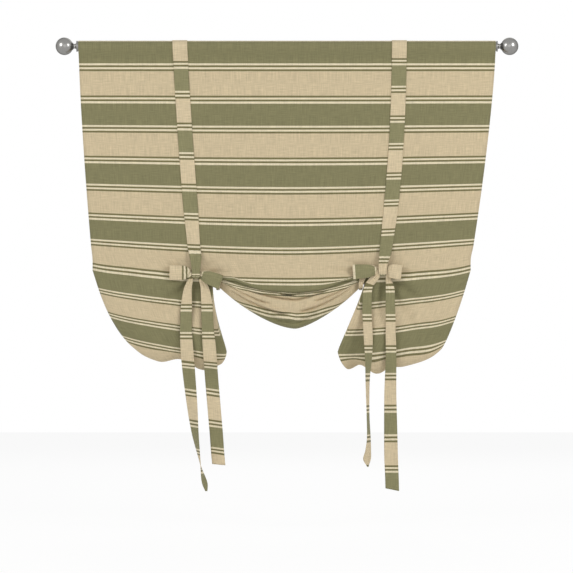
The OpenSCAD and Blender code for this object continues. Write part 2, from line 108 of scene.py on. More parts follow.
def places(start: float, *stretches: tuple[float, int]) -> Array:
    """Places in order along stretches that follow each other, even within each.

    Args:
        start: The first place.
        stretches: For each stretch, its end and its number of steps.

    Returns:
        The places, with each end once.
    """
    starts = [start] + [end for end, _ in stretches]
    steps = [np.linspace(a, b, n + 1)[1:] for a, (b, n) in zip(starts, stretches)]
    return np.concatenate([[start], *steps])


def unit(v: Array) -> Array:
    """Vectors along the last axis, scaled to length 1."""
    return v / np.maximum(np.linalg.norm(v, axis=-1, keepdims=True), 1e-12)


def spline(rows: Sequence[Sequence[float]], at: Array) -> Array:
    """Reads a smooth curve through the rows of a table.

    Each stretch is a cubic Hermite whose end slopes are those between the neighbouring rows.

    Args:
        rows: Rows whose first number rises and whose other numbers are the curve's values.
        at: Places along the first number.

    Returns:
        The values at those places, with one more axis than at.
    """
    table = np.asarray(rows, dtype=float)
    x, y = table[:, 0], table[:, 1:]
    last = len(x) - 1
    low = np.maximum(np.arange(last + 1) - 1, 0)
    high = np.minimum(np.arange(last + 1) + 1, last)
    slope = (y[high] - y[low]) / (x[high] - x[low])[:, None]
    at = np.asarray(at, dtype=float)
    i = np.clip(np.searchsorted(x, at, side="right") - 1, 0, last - 1)
    step = (x[i + 1] - x[i])[..., None]
    k = ((at - x[i]) / (x[i + 1] - x[i]))[..., None]
    return (
        (2 * k**3 - 3 * k**2 + 1) * y[i]
        + (k**3 - 2 * k**2 + k) * slope[i] * step
        + (3 * k**2 - 2 * k**3) * y[i + 1]
        + (k**3 - k**2) * slope[i + 1] * step
    )


def grid_normals(points: Array) -> Array:
    """Unit normals of a grid of points: the cross of its across and down differences."""
    return unit(np.cross(np.gradient(points, axis=1), np.gradient(points, axis=0)))


# Meshes.


def mesh_object(name: str, points: Array, faces: Array, uv: Array | None = None) -> bpy.types.Object:
    """Makes a smooth-shaded mesh object at the origin.

    Args:
        name: The piece's name.
        points: Vertices, one row each.
        faces: Quads as rows of vertex numbers.
        uv: One UV pair for each vertex, in metres of cloth, or None.

    Returns:
        The new object, linked to the scene.
    """
    mesh = bpy.data.meshes.new(name)
    count = len(faces)
    mesh.vertices.add(len(points))
    mesh.vertices.foreach_set("co", np.ascontiguousarray(points, dtype=np.float32).ravel())
    mesh.loops.add(count * 4)
    mesh.loops.foreach_set("vertex_index", faces.astype(np.int32).ravel())
    mesh.polygons.add(count)
    mesh.polygons.foreach_set("loop_start", np.arange(0, count * 4, 4, dtype=np.int32))
    mesh.polygons.foreach_set("use_smooth", np.ones(count, dtype=bool))
    mesh.update(calc_edges=True)
    if uv is not None:
        layer = mesh.uv_layers.new(name=CLOTH_UV)
        layer.data.foreach_set("uv", uv[faces.ravel()].astype(np.float32).ravel())
    mesh.validate()
    obj = bpy.data.objects.new(name, mesh)
    bpy.context.scene.collection.objects.link(obj)
    return obj


def closed_sheet(name: str, middle: Array, thick: float, uv: Array) -> bpy.types.Object:
    """Makes a closed sheet: a face on each side of its middle surface, joined round the border.

    Args:
        name: The piece's name.
        middle: Grid of points, rows down and columns across.
        thick: The sheet's thickness.
        uv: Grid of UV pairs shared by both faces.

    Returns:
        The new object.
    """
    half = grid_normals(middle) * thick / 2
    rows, cols = middle.shape[:2]
    n = rows * cols
    index = np.arange(n).reshape(rows, cols)
    corners = [index[:-1, :-1], index[1:, :-1], index[1:, 1:], index[:-1, 1:]]
    cell = np.stack(corners, axis=-1).reshape(-1, 4)
    rim = np.concatenate([index[0, :-1], index[:-1, -1], index[-1, :0:-1], index[:0:-1, 0]])
    ahead = np.roll(rim, -1)
    wall = np.stack([rim, ahead, ahead + n, rim + n], axis=-1)
    faces = np.concatenate([cell, cell[:, ::-1] + n, wall])
    points = np.concatenate([(middle - half).reshape(-1, 3), (middle + half).reshape(-1, 3)])
    return mesh_object(name, points, faces, np.concatenate([uv.reshape(-1, 2)] * 2))


def lathe(name: str, profile: Array, start: Vector, axis_sign: int, turns: int = 96) -> bpy.types.Object:
    """Turns a profile round the X axis.

    Args:
        name: The piece's name.
        profile: Rows of (distance along the axis, radius); the first and last radius are 0.
        start: Where distance 0 is.
        axis_sign: 1 where distance grows along +X and -1 along -X.
        turns: Number of steps round the axis.

    Returns:
        The new object.
    """
    angle = np.linspace(0.0, 2.0 * math.pi, turns, endpoint=False) * axis_sign
    along = np.broadcast_to(profile[:, :1] * axis_sign, (len(profile), turns))
    radius = np.maximum(profile[:, 1:], 1e-5)
    ring = np.stack([along, radius * np.cos(angle), radius * np.sin(angle)], axis=-1) + np.array(start)
    index = np.arange(ring.shape[0] * turns).reshape(-1, turns)
    ahead = np.roll(index, -1, axis=1)
    faces = np.stack([index[:-1], ahead[:-1], ahead[1:], index[1:]], axis=-1).reshape(-1, 4)
    return mesh_object(name, ring.reshape(-1, 3), faces[:, ::-1])


# Finishes.


def new_material(name: str) -> tuple[bpy.types.Material, Tree, bpy.types.Node]:
    """Starts a node material.

    Args:
        name: The material's name.

    Returns:
        The material, its node tree and its Principled shader.
    """
    material = bpy.data.materials.new(name)
    material.use_nodes = True
    tree = material.node_tree
    return material, tree, tree.nodes["Principled BSDF"]


def fill(tree: Tree, node: bpy.types.Node, inputs: dict[str | int, object]) -> None:
    """Links or sets a node's inputs.

    Args:
        tree: The node tree.
        node: The node.
        inputs: For an input's name or number, a socket, a number, a vector or a colour.
    """
    for key, value in inputs.items():
        socket = node.inputs[key]
        if isinstance(value, Socket):
            tree.links.new(value, socket)
        elif socket.type == "RGBA":
            socket.default_value = (*value, 1.0)
        else:
            socket.default_value = value


def add_node(tree: Tree, kind: str, inputs: dict[str | int, object]) -> bpy.types.Node:
    """Adds a node and fills its inputs.

    Args:
        tree: The node tree.
        kind: The node's type, without its prefix.
        inputs: The inputs, as in fill.

    Returns:
        The new node.
    """
    node = tree.nodes.new(f"ShaderNode{kind}")
    fill(tree, node, inputs)
    return node


def maths(tree: Tree, operation: str, *values: Socket | float) -> Socket:
    """Adds a Math node.

    Args:
        tree: The node tree.
        operation: The node's operation.
        values: Its inputs in order, each a socket or a number.

    Returns:
        The node's output socket.
    """
    node = add_node(tree, "Math", dict(enumerate(values)))
    node.operation = operation
    return node.outputs[0]


def blend_colour(
    tree: Tree, factor: Socket | float, a: Socket | Colour, b: Socket | Colour, how: str = "MIX"
) -> Socket:
    """Adds a colour Mix node.

    Args:
        tree: The node tree.
        factor: Share of b.
        a: First colour.
        b: Second colour.
        how: The node's blend type.

    Returns:
        The mixed colour's socket.
    """
    node = tree.nodes.new("ShaderNodeMix")
    node.data_type = "RGBA"
    node.blend_type = how
    fill(tree, node, {0: factor, 6: a, 7: b})
    return node.outputs[2]


def shaded(tree: Tree, colour: Socket | Colour, shade: Socket) -> Socket:
    """Multiplies a colour by a grey shade."""
    grey = add_node(tree, "CombineColor", dict.fromkeys(range(3), shade))
    return blend_colour(tree, 1.0, colour, grey.outputs[0], "MULTIPLY")


def noise(tree: Tree, place: Socket, stretch: Vec3) -> Socket:
    """Adds noise with so many grains to a metre along each axis of place."""
    mapping = add_node(tree, "Mapping", {0: place, "Scale": stretch})
    return add_node(tree, "TexNoise", {"Vector": mapping.outputs[0], "Scale": 1.0}).outputs[0]


def srgb(red: int, green: int, blue: int) -> Colour:
    """Linear colour of an 8-bit screen colour, by the usual sRGB curve."""
    shares = (value / 255.0 for value in (red, green, blue))
    return tuple(s / 12.92 if s <= 0.04045 else ((s + 0.055) / 1.055) ** 2.4 for s in shares)


@dataclass(frozen=True)
class BandedLinen:
    """Linen-look cloth woven in bands across its length, with pin lines between the bands.

    The bands follow the cloth's own length, read from its UV map in metres. Going down one
    repeat from the end of a green band: pin lines, a beige band, pin lines and a green band.
    """

    name: str
    repeat: float = 0.158
    first_end: float = 0.064
    pin: float = 0.0049
    beige_from: float = 0.0196
    beige_to: float = 0.0813
    green_from: float = 0.1015
    green: Colour = srgb(137, 133, 98)
    beige: Colour = srgb(209, 192, 159)
    cream: Colour = srgb(222, 210, 180)
    dark: Colour = srgb(118, 112, 78)
    yarn: float = 0.0011
    slubs: tuple[Vec3, Vec3] = ((520.0, 26.0, 1.0), (36.0, 600.0, 1.0))
    slub_tint: float = 0.5
    slub_height: float = 1.2
    weave_tint: float = 0.05
    weave_height: float = 0.5
    relief: float = 0.00025
    relief_strength: float = 0.6
    roughness: float = 0.86
    gloss: float = 0.18
    sheen: float = 0.12

    def build(self) -> bpy.types.Material:
        """Makes the material.

        Returns:
            The cloth's material: bands from the length, yarns from both directions.
        """
        material, tree, shader = new_material(self.name)
        coords = add_node(tree, "UVMap", {})
        coords.uv_map = CLOTH_UV
        place = coords.outputs[0]
        across, down, _ = add_node(tree, "SeparateXYZ", {0: place}).outputs
        shade, height = self._yarns(tree, place, across, down)
        relief = {"Strength": self.relief_strength, "Distance": self.relief, "Height": height}
        surface = {
            "Base Color": shaded(tree, self._bands(tree, down), shade),
            "Normal": add_node(tree, "Bump", relief).outputs[0],
            "Roughness": self.roughness,
            "Specular IOR Level": self.gloss,
            "Sheen Weight": self.sheen,
        }
        fill(tree, shader, surface)
        return material

    def _bands(self, tree: Tree, down: Socket) -> Socket:
        """Colours the bands and pin lines.

        Args:
            tree: The node tree.
            down: The cloth's length at each place.

        Returns:
            The colour's socket: a ramp of hard-edged stops over one repeat.
        """
        length = maths(tree, "SUBTRACT", down, self.first_end)
        share = maths(tree, "FRACT", maths(tree, "DIVIDE", length, self.repeat))
        ramp = add_node(tree, "ValToRGB", {0: share})
        ramp.color_ramp.interpolation = "CONSTANT"
        stops = [(i * self.pin, c) for i, c in enumerate((self.cream, self.dark) * 2)]
        stops += [(self.beige_from, self.beige)]
        stops += [(self.beige_to + i * self.pin, c) for i, c in enumerate((self.dark, self.cream) * 2)]
        stops += [(self.green_from, self.green)]
        while len(ramp.color_ramp.elements) < len(stops):
            ramp.color_ramp.elements.new(0.5)
        for element, (place, _) in zip(ramp.color_ramp.elements, stops):
            element.position = place / self.repeat
        for element, (_, colour) in zip(ramp.color_ramp.elements, stops):
            element.color = (*colour, 1.0)
        return ramp.outputs[0]

    def _yarns(self, tree: Tree, place: Socket, across: Socket, down: Socket) -> tuple[Socket, Socket]:
        """Weaves the yarns: a plain weave, and slubs along the warp and the weft.

        Args:
            tree: The node tree.
            place: The cloth's UV map.
            across: Place across the cloth.
            down: Place down the cloth.

        Returns:
            The yarns' shade, about 1, and their height.
        """
        turn = 2.0 * math.pi / self.yarn
        warp, weft = (maths(tree, "SINE", maths(tree, "MULTIPLY", way, turn)) for way in (across, down))
        weave = maths(tree, "MULTIPLY", warp, weft)
        slubs = maths(tree, "ADD", *(noise(tree, place, stretch) for stretch in self.slubs))
        uneven = maths(tree, "SUBTRACT", slubs, 1.0)
        shade = maths(tree, "MULTIPLY_ADD", uneven, self.slub_tint, 1.0)
        shade = maths(tree, "MULTIPLY_ADD", weave, self.weave_tint, shade)
        height = maths(tree, "MULTIPLY", weave, self.weave_height)
        return shade, maths(tree, "MULTIPLY_ADD", uneven, self.slub_height, height)


@dataclass(frozen=True)
class SatinNickel:
    """Nickel plate with a fine turned or drawn grain."""

    name: str
    colour: Colour = srgb(152, 151, 148)
    rim: Colour = (0.3, 0.3, 0.3)
    roughness: float = 0.28
    grain: Vec3 = (900.0, 30.0, 30.0)
    rough_swing: float = 0.16
    tone_swing: float = 0.12

    def build(self) -> bpy.types.Material:
        """Makes the material.

        Returns:
            A metal whose roughness and tone vary with fine rings along X.
        """
        material, tree, shader = new_material(self.name)
        coords = add_node(tree, "TexCoord", {})
        grain = noise(tree, coords.outputs["Object"], self.grain)
        tone = maths(tree, "MULTIPLY_ADD", grain, self.tone_swing, 1 - self.tone_swing / 2)
        low = self.roughness - self.rough_swing / 2
        surface = {
            "Base Color": shaded(tree, self.colour, tone),
            "Roughness": maths(tree, "MULTIPLY_ADD", grain, self.rough_swing, low),
            "Metallic": 1.0,
            "Specular Tint": self.rim,
        }
        fill(tree, shader, surface)
        return material


@dataclass(frozen=True)
class MouldedNylon:
    """Off-white moulded nylon of the end plugs."""

    name: str
    colour: Colour = srgb(216, 212, 204)
    shadow: float = 0.86
    mottle: Vec3 = (240.0, 240.0, 240.0)
    roughness: float = 0.48

    def build(self) -> bpy.types.Material:
        """Makes the material.

        Returns:
            A soft plastic with a faint mottle.
        """
        material, tree, shader = new_material(self.name)
        coords = add_node(tree, "TexCoord", {})
        mottle = noise(tree, coords.outputs["Object"], self.mottle)
        darker = tuple(self.shadow * c for c in self.colour)
        colour = blend_colour(tree, mottle, darker, self.colour)
        fill(tree, shader, {"Base Color": colour, "Roughness": self.roughness})
        return material


def dress(obj: bpy.types.Object, material: bpy.types.Material) -> None:
    """Gives a piece its one material."""
    obj.data.materials.clear()
    obj.data.materials.append(material)


# The cloth's drape, shared by the panel and the ties that lie on it.

Stretch = tuple[float, float]


def by_side(left: float, right: float) -> dict[Side, float]:
    """A dataclass field with one size for each side."""
    return field(default_factory=lambda: {Side.LEFT: left, Side.RIGHT: right})


@dataclass
class Drape:
    """How the panel hangs: a place a across and t down the cloth, to a place in the room.

    t is the cloth's length from the top ridge: below 0 it is the pocket's back, then the drop,
    the gathers at the bows, and the loose cloth that makes the swag, the tails and the pouf.
    A Stretch is (start, length) of a smooth step. Rows of the swag's and the tails' sections are
    (share of the loose cloth, depth over puff, drop over the full drop). A crease's row is
    (share of the section, slope, first and last place across, depth).
    """

    half_w: float = 0.5335
    cloth_t: float = 0.0012
    pocket_l: float = 0.062
    pocket_r: float = 0.0138
    pocket_spread: float = 0.0018
    seam_gap: float = 0.0003
    bow_drop: float = 0.589
    swag_drop: float = 0.724
    tail_drop: float = 0.822
    tail_path: float = 1.91
    gather_l: float = 0.052
    loose_l: float = 0.024
    swag_share: float = 0.435
    fold_share: float = 0.49
    taper_power: float = 1.25
    belly: float = 0.034
    tail_belly: float = 0.010
    edge_curl: float = 0.020
    edge_lift: float = 0.032
    low_lift: float = 0.011
    low_lift_end: float = 0.4
    tie_depth: float = 0.006
    puff: float = 0.042
    bunch_front: float = -0.1
    bunch_back: float = 0.8
    bunch_drop: float = 0.010
    bunch_pleat: float = 0.006
    gather_in: float = 0.036
    notch: float = 0.006
    gathers: dict[Side, float] = by_side(0.064, 0.116)
    bow_x: dict[Side, float] = by_side(0.233, 0.245)
    flare: dict[Side, float] = by_side(0.047, 0.084)
    flare_power: dict[Side, float] = by_side(1.6, 0.9)
    flare_back: Stretch = (0.48, 0.32)
    rounding: dict[Side, float] = by_side(0.118, 0.079)
    round_even: dict[Side, float] = by_side(0.59, 0.8)
    round_end: float = 0.6
    round_back: float = 0.75
    flute: float = 0.005
    flute_grow: Stretch = (0.0, 0.3)
    scallop: float = 0.010
    fullness: dict[Side, float] = by_side(0.0, 0.014)
    lobe: dict[Side, float] = by_side(0.76, 0.31)
    lobe_l: dict[Side, float] = by_side(0.56, 0.36)
    lobe_fade: Stretch = (0.3, 0.35)
    lobe_turn: tuple[Stretch, Stretch] = ((0.49, 0.11), (0.66, 0.16))
    front_end: Stretch = (0.45, 0.2)
    return_r: float = 0.009
    return_depth: float = 1.3
    return_pull: dict[Side, float] = by_side(1.1, 0.75)
    return_turn: tuple[Stretch, Stretch] = ((0.0, 0.12), (0.62, 0.1))
    swag_skew: float = 0.020
    swag_turn: float = 0.435
    turn_pull: float = 0.19
    sag_power: dict[Side, float] = by_side(1.75, 1.4)
    swag_rows: tuple = (
        (0, -0.95, 0.15), (0.045, -0.95, 0.28), (0.075, -0.74, 0.325), (0.103, -0.6, 0.298),
        (0.132, -0.66, 0.318), (0.17, -0.78, 0.375), (0.247, -0.88, 0.54), (0.31, -0.86, 0.67),
        (0.355, -0.78, 0.785), (0.405, -0.52, 0.95), (0.435, -0.2, 1), (0.468, 0.06, 0.935),
        (0.55, 0.22, 0.727), (0.607, 0.36, 0.585), (0.643, 0.5, 0.6), (0.72, 0.64, 0.83),
        (0.755, 0.78, 0.845), (0.82, 0.9, 0.655), (1, 1, 0.11),
    )
    drawn_h: float = 0.016
    drawn_across: tuple[Stretch, Stretch] = ((0.35, 0.5), (0.84, 0.1))
    drawn_from: Stretch = (0.6193, 0.038)
    drawn_to: Stretch = (0.055, 0.07)
    crease_width: float = 0.0095
    crease_ridge: float = 0.6
    crease_fade: float = 0.12
    crease_rows: tuple = (
        (0.325, -0.02, -0.82, 0.02, 0.0102), (0.262, -0.03, -0.88, -0.22, 0.0076),
        (0.205, 0.0, -0.62, 0.10, 0.0082), (0.168, 0.0, -0.16, 0.12, 0.0102),
        (0.318, -0.02, 0.10, 0.85, 0.0102), (0.252, 0.0, 0.28, 0.90, 0.0076),
        (0.212, -0.06, -0.02, 0.52, 0.0088), (0.385, 0.0, -0.30, 0.10, 0.0066),
        (0.395, -0.1, 0.02, 0.38, 0.0080),
    )
    tail_rows: tuple = (
        (0, -0.2, 0.077), (0.148, -0.34, 0.32), (0.31, -0.43, 0.57), (0.48, -0.38, 0.84),
        (0.56, -0.2, 0.96), (0.603, 0.07, 1), (0.646, 0.34, 0.96), (0.753, 0.57, 0.78),
        (0.888, 0.72, 0.53), (1, 0.79, 0.32),
    )

    def __post_init__(self) -> None:
        """Works out the lengths that follow from the driving sizes."""
        self.pocket_arc = self.pocket_r * math.pi / 2
        self.bow_t = self.bow_drop + self.pocket_arc
        self.gather_t = self.bow_t - self.gather_l
        self.loose_t = self.bow_t + self.loose_l
        self.cloth_l = self.loose_t + self.tail_path * (self.tail_drop - self.bow_drop)
        self.swag_a = self.swag_share * self.half_w
        self.fold_a = self.fold_share * self.half_w

    def pick(self, sizes: dict[Side, float], a: Array) -> Array:
        """Reads a per-side size by the sign of a."""
        return np.where(a < 0, sizes[Side.LEFT], sizes[Side.RIGHT])

    def taper(self, t: Array) -> Array:
        """Growth of the gathers from the pocket's seam, 0, to the bows, 1, as a power."""
        return share_of(t, self.pocket_l, self.bow_t) ** self.taper_power

    def loose_share(self, t: Array) -> Array:
        """Share of the loose cloth below the bows, from its start to its free edge."""
        return share_of(t, self.loose_t, self.cloth_l)

    def tail_place(self, a: Array) -> Array:
        """Place across a tail, from its inner fold to its outer edge."""
        return share_of(np.abs(a), self.fold_a, self.half_w)

    def past_swag(self, a: Array) -> Array:
        """Smooth step across the inner return, from the swag's end to the tail's fold."""
        return grow(np.abs(a), self.swag_a, self.fold_a - self.swag_a)

    def swag_fold(self, xi: Array) -> Array:
        """Share of the loose cloth at the swag's lowest fold, which comes sooner near the bows."""
        return self.swag_turn - self.turn_pull * np.abs(xi) ** 1.5

    def depth_across(self, a: Array) -> Array:
        """Depth at the bows: a belly between the ties, one in each tail, and curled edges.

        Args:
            a: Signed places across the cloth.

        Returns:
            Depths: -b (1 - i^2)^2.6 between the ties, -s sin^2(pi o) + c o^3 in the tails.
        """
        inner = share_of(np.abs(a), 0, self.fold_a)
        outer = self.tail_place(a)
        middle = self.belly * (1 - inner**2) ** 2.6
        side = self.tail_belly * np.sin(np.pi * outer) ** 2
        return -self.tie_depth - middle - side + self.edge_curl * outer**3

    def narrowing(self, a: Array, t: Array) -> Array:
        """Share of its width that the cloth keeps: spread at the pocket, drawn in at the bows."""
        spread = self.pocket_spread / self.half_w * fade(np.abs(t), 0, self.pocket_arc + self.pocket_l)
        return 1 - self.pick(self.gathers, a) * self.taper(t) + spread

    def upper(self, a: Array, t: Array) -> Array:
        """The cloth above the bows.

        A quarter circle over the rod each way from the ridge, then a flat drop that narrows,
        lifts at its edges and bellies out towards the bows.

        Args:
            a: Signed places across the cloth.
            t: Lengths from the ridge.

        Returns:
            Points, with one more axis than a and t together.
        """
        a, t = np.broadcast_arrays(a, t)
        turn = np.clip(t / self.pocket_arc, -1, 1) * np.pi / 2
        lift = self.edge_lift * (np.abs(a) / self.half_w) ** 1.6 * share_of(t, 0, self.bow_t) ** 2.5
        closing = grow(np.abs(t), self.pocket_arc, self.pocket_l - self.pocket_arc)
        front = mix(-self.pocket_r, 0.0, closing)
        back = mix(self.pocket_r, self.cloth_t + self.seam_gap, closing)
        y = np.where(t < 0, back, front) + self.depth_across(a) * self.taper(t)
        z = self.pocket_arc - np.abs(t) + lift
        over = np.abs(t) < self.pocket_arc
        y = np.where(over, -self.pocket_r * np.sin(turn), y)
        z = np.where(over, self.pocket_r * np.cos(turn), z)
        return np.stack([a * self.narrowing(a, t), y, z], axis=-1)

    def bunch(self, sign: Array, u: Array) -> Array:
        """The gathered cloth at a bow: layers stacked in depth, in three small pleats.

        Args:
            sign: -1 for the left bow and 1 for the right.
            u: Shares of the loose cloth.

        Returns:
            Points: depth grows straight with u, and height waves as cos(6 pi u).
        """
        x = sign * (self.pick(self.bow_x, sign) - self.gather_in - self.notch)
        y = mix(self.bunch_front, self.bunch_back, u) * self.puff
        z = -self.bow_drop - self.bunch_drop - self.bunch_pleat * np.cos(6 * np.pi * u)
        return np.stack(np.broadcast_arrays(x, y, z), axis=-1)

    def swag(self, xi: Array, u: Array) -> Array:
        """The swag between the bows: its section sags as 1 - |xi - lean|^p.

        Args:
            xi: Places across, -1 at the left bow and 1 at the right.
            u: Shares of the loose cloth.

        Returns:
            Points of the swag.
        """
        fold, turn = self.swag_fold(xi), self.swag_turn
        share = np.where(u < fold, u * turn / fold, mix(turn, 1, (u - fold) / (1 - fold)))
        section = spline(self.swag_rows, share)
        span = self.bow_x[Side.LEFT] + self.bow_x[Side.RIGHT]
        off = xi - self.swag_skew / span * 2 * (1 - xi**2)
        sag = np.maximum(0, 1 - np.abs(off) ** self.pick(self.sag_power, off))
        ends = [self.bunch(np.full_like(xi, side.value), u) for side in Side]
        held = mix(*ends, ((xi + 1) / 2)[..., None])
        y = mix(held[..., 1], section[..., 0] * self.puff + self.swag_creases(xi, share), sag)
        z = mix(held[..., 2], -self.bow_drop - section[..., 1] * (self.swag_drop - self.bow_drop), sag)
        return np.stack([held[..., 0], y, z], axis=-1)

    def swag_creases(self, xi: Array, share: Array) -> Array:
        """Depth of the swag's creases, which run from the bows to its middle.

        Each crease is a valley of depth h along a line of equal share s, with a ridge above it:
        h (exp(-d^2) - r exp(-(d + 1.9)^2)), d = (share - s) / width, between two places across.

        Args:
            xi: Places across the swag.
            share: Shares of the section, with the fold at swag_turn.

        Returns:
            Depths, positive to the back.
        """
        total = np.zeros(np.broadcast(xi, share).shape)
        for place, slope, first, last, height in self.crease_rows:
            d = (share - place - slope * (np.abs(xi) - abs(first))) / self.crease_width
            valley = np.exp(-(d**2)) - self.crease_ridge * np.exp(-((d + 1.9) ** 2))
            inside = grow(xi, first, self.crease_fade) * ease((last - xi) / self.crease_fade)
            total += height * valley * inside
        return total

    def fold_x(self, sign: Array, u: Array) -> Array:
        """Distance of a tail's inner fold from the middle: it flares inwards, then returns.

        Args:
            sign: -1 for the left tail and 1 for the right.
            u: Shares of the loose cloth.

        Returns:
            Distances: the flare grows as a power of u and then fades.
        """
        grown = np.minimum(1, u / self.flare_back[0]) ** self.pick(self.flare_power, sign)
        spread = self.pick(self.flare, sign) * grown * fade(u, *self.flare_back)
        return self.pick(self.bow_x, sign) - self.gather_in + self.notch - spread

    def edge_x(self, sign: Array, u: Array) -> Array:
        """Distance of a tail's outer edge from the middle: it rounds in towards the bottom.

        Args:
            sign: -1 for the left tail and 1 for the right.
            u: Shares of the loose cloth.

        Returns:
            Distances: the rounding is a blend of s^4 and s down to the turn, then eases off.
        """
        part = u / self.round_end
        bend = mix(part**4, part, self.pick(self.round_even, sign))
        after = mix(1, self.round_back, (u - self.round_end) / (1 - self.round_end))
        rounded = self.pick(self.rounding, sign) * np.where(u < self.round_end, bend, after)
        return self.half_w * (1 - self.pick(self.gathers, sign)) - rounded

    def tail(self, sign: Array, w: Array, u: Array) -> Array:
        """A tail: w runs from its inner fold to its outer edge.

        The section gives depth and drop. The outer edge is lifted, flutes run down from the bow
        and end in scallops along the bottom.

        Args:
            sign: -1 for the left tail and 1 for the right.
            w: Places across the tail.
            u: Shares of the loose cloth.

        Returns:
            Points of the tail.
        """
        section = spline(self.tail_rows, u)
        front = fade(u, *self.front_end)
        lift = w**2.1 * (self.edge_lift + self.low_lift * np.minimum(1, u / self.low_lift_end))
        lobe = self.pick(self.lobe, sign)
        wave = np.cos(2 * np.pi * (w - lobe) / self.pick(self.lobe_l, sign))
        left_wave = np.where(w < lobe, wave, 1 - ((w - lobe) / (1 - lobe)) ** 4)
        wave = np.where(sign < 0, left_wave, wave * fade(w, *self.lobe_fade))
        full = np.where(w < 0.5, np.sin(np.pi * w), 1 - (2 * w - 1) ** 6)
        opening, closing = self.lobe_turn
        lobes = grow(u, *opening) * fade(u, *closing)
        lobes = lobes * (self.scallop * wave + self.pick(self.fullness, sign) * full)
        folds = self.flute * wave * grow(u, *self.flute_grow) * front
        out = (-self.tail_belly * np.sin(np.pi * w) ** 2 + self.edge_curl * w**3) * front
        x = sign * mix(self.fold_x(sign, u), self.edge_x(sign, u), w)
        y = section[..., 0] * self.puff + out - folds
        z = -self.bow_drop - section[..., 1] * (self.tail_drop - self.bow_drop) + lift - lobes
        return np.stack(np.broadcast_arrays(x, y, z), axis=-1)

    def inner_return(self, sign: Array, r: Array, u: Array) -> Array:
        """The cloth from a tail's inner fold back to the bunch, as a cubic Bezier in r.

        Args:
            sign: -1 for the left bow and 1 for the right.
            r: Places from the fold, 0, to the bunch, 1.
            u: Shares of the loose cloth.

        Returns:
            Points of the return.
        """
        start = self.tail(sign, np.zeros_like(u), u)
        end = self.bunch(sign, u)
        opening, closing = self.return_turn
        turn = self.return_r * grow(u, *opening) * fade(u, *closing)
        first = start.copy()
        first[..., 0] -= sign * turn
        x = mix(first[..., 0], end[..., 0], self.pick(self.return_pull, sign))
        z = mix(start[..., 2], end[..., 2], 0.5)
        second = np.stack([x, start[..., 1] + self.return_depth * turn, z], axis=-1)
        r = r[..., None]
        return (1 - r) ** 3 * start + 3 * r * (1 - r) ** 2 * first + 3 * r**2 * (1 - r) * second + r**3 * end

    def drawn_up(self, xi: Array, t: Array, u: Array) -> Array:
        """How far the bows draw up the swag's upper fold beside them.

        Args:
            xi: Places across, 0 in the middle and 1 at a bow.
            t: Lengths from the ridge.
            u: Shares of the loose cloth.

        Returns:
            Heights: a smooth bump across and down.
        """
        near, far = self.drawn_across
        place = self.drawn_h * grow(xi, *near) * fade(xi, *far)
        return place * grow(t, *self.drawn_from) * fade(u, *self.drawn_to)

    def cloth(self, a: Array, t: Array) -> Array:
        """The whole panel's middle surface.

        Args:
            a: Signed places across the cloth, broadcast with t.
            t: Lengths from the ridge.

        Returns:
            Points: the upper cloth, blended at the bows into swag, returns and tails.
        """
        a, t = (np.array(v) for v in np.broadcast_arrays(a, t))
        sign = np.where(a < 0, -1.0, 1.0)
        size = np.abs(a)
        u = self.loose_share(t)
        swag = self.swag(np.clip(a / self.swag_a, -1, 1), u)
        back_to = self.inner_return(sign, share_of(size, self.fold_a, self.swag_a), u)
        tail = self.tail(sign, self.tail_place(a), u)
        loose = np.where((size < self.fold_a)[..., None], back_to, tail)
        loose = np.where((size <= self.swag_a)[..., None], swag, loose)
        loose[..., 2] += np.maximum(0, self.loose_t - t) + self.drawn_up(size / self.swag_a, t, u)
        gathered = grow(t, self.gather_t, self.loose_t - self.gather_t)
        return mix(self.upper(a, t), loose, gathered[..., None])


# Puckers at each bow: (angle from outwards, length, depth, width), in degrees and metres.
PUCKERS: dict[Side, tuple] = {
    Side.LEFT: (
        (-46, 0.21, 0.0115, 0.012), (-22, 0.19, -0.0060, 0.014), (-78, 0.24, 0.0090, 0.012),
        (176, 0.13, 0.0039, 0.007), (6, 0.13, 0.0045, 0.008), (148, 0.10, 0.0035, 0.008),
        (-112, 0.14, 0.0064, 0.010),
    ),
    Side.RIGHT: (
        (176, 0.22, 0.0064, 0.008), (163, 0.13, 0.0035, 0.008), (2, 0.13, 0.0059, 0.008),
        (-36, 0.21, 0.0105, 0.012), (-60, 0.27, 0.0095, 0.013), (-92, 0.18, 0.0098, 0.010),
        (-16, 0.18, -0.0060, 0.012),
    ),
}


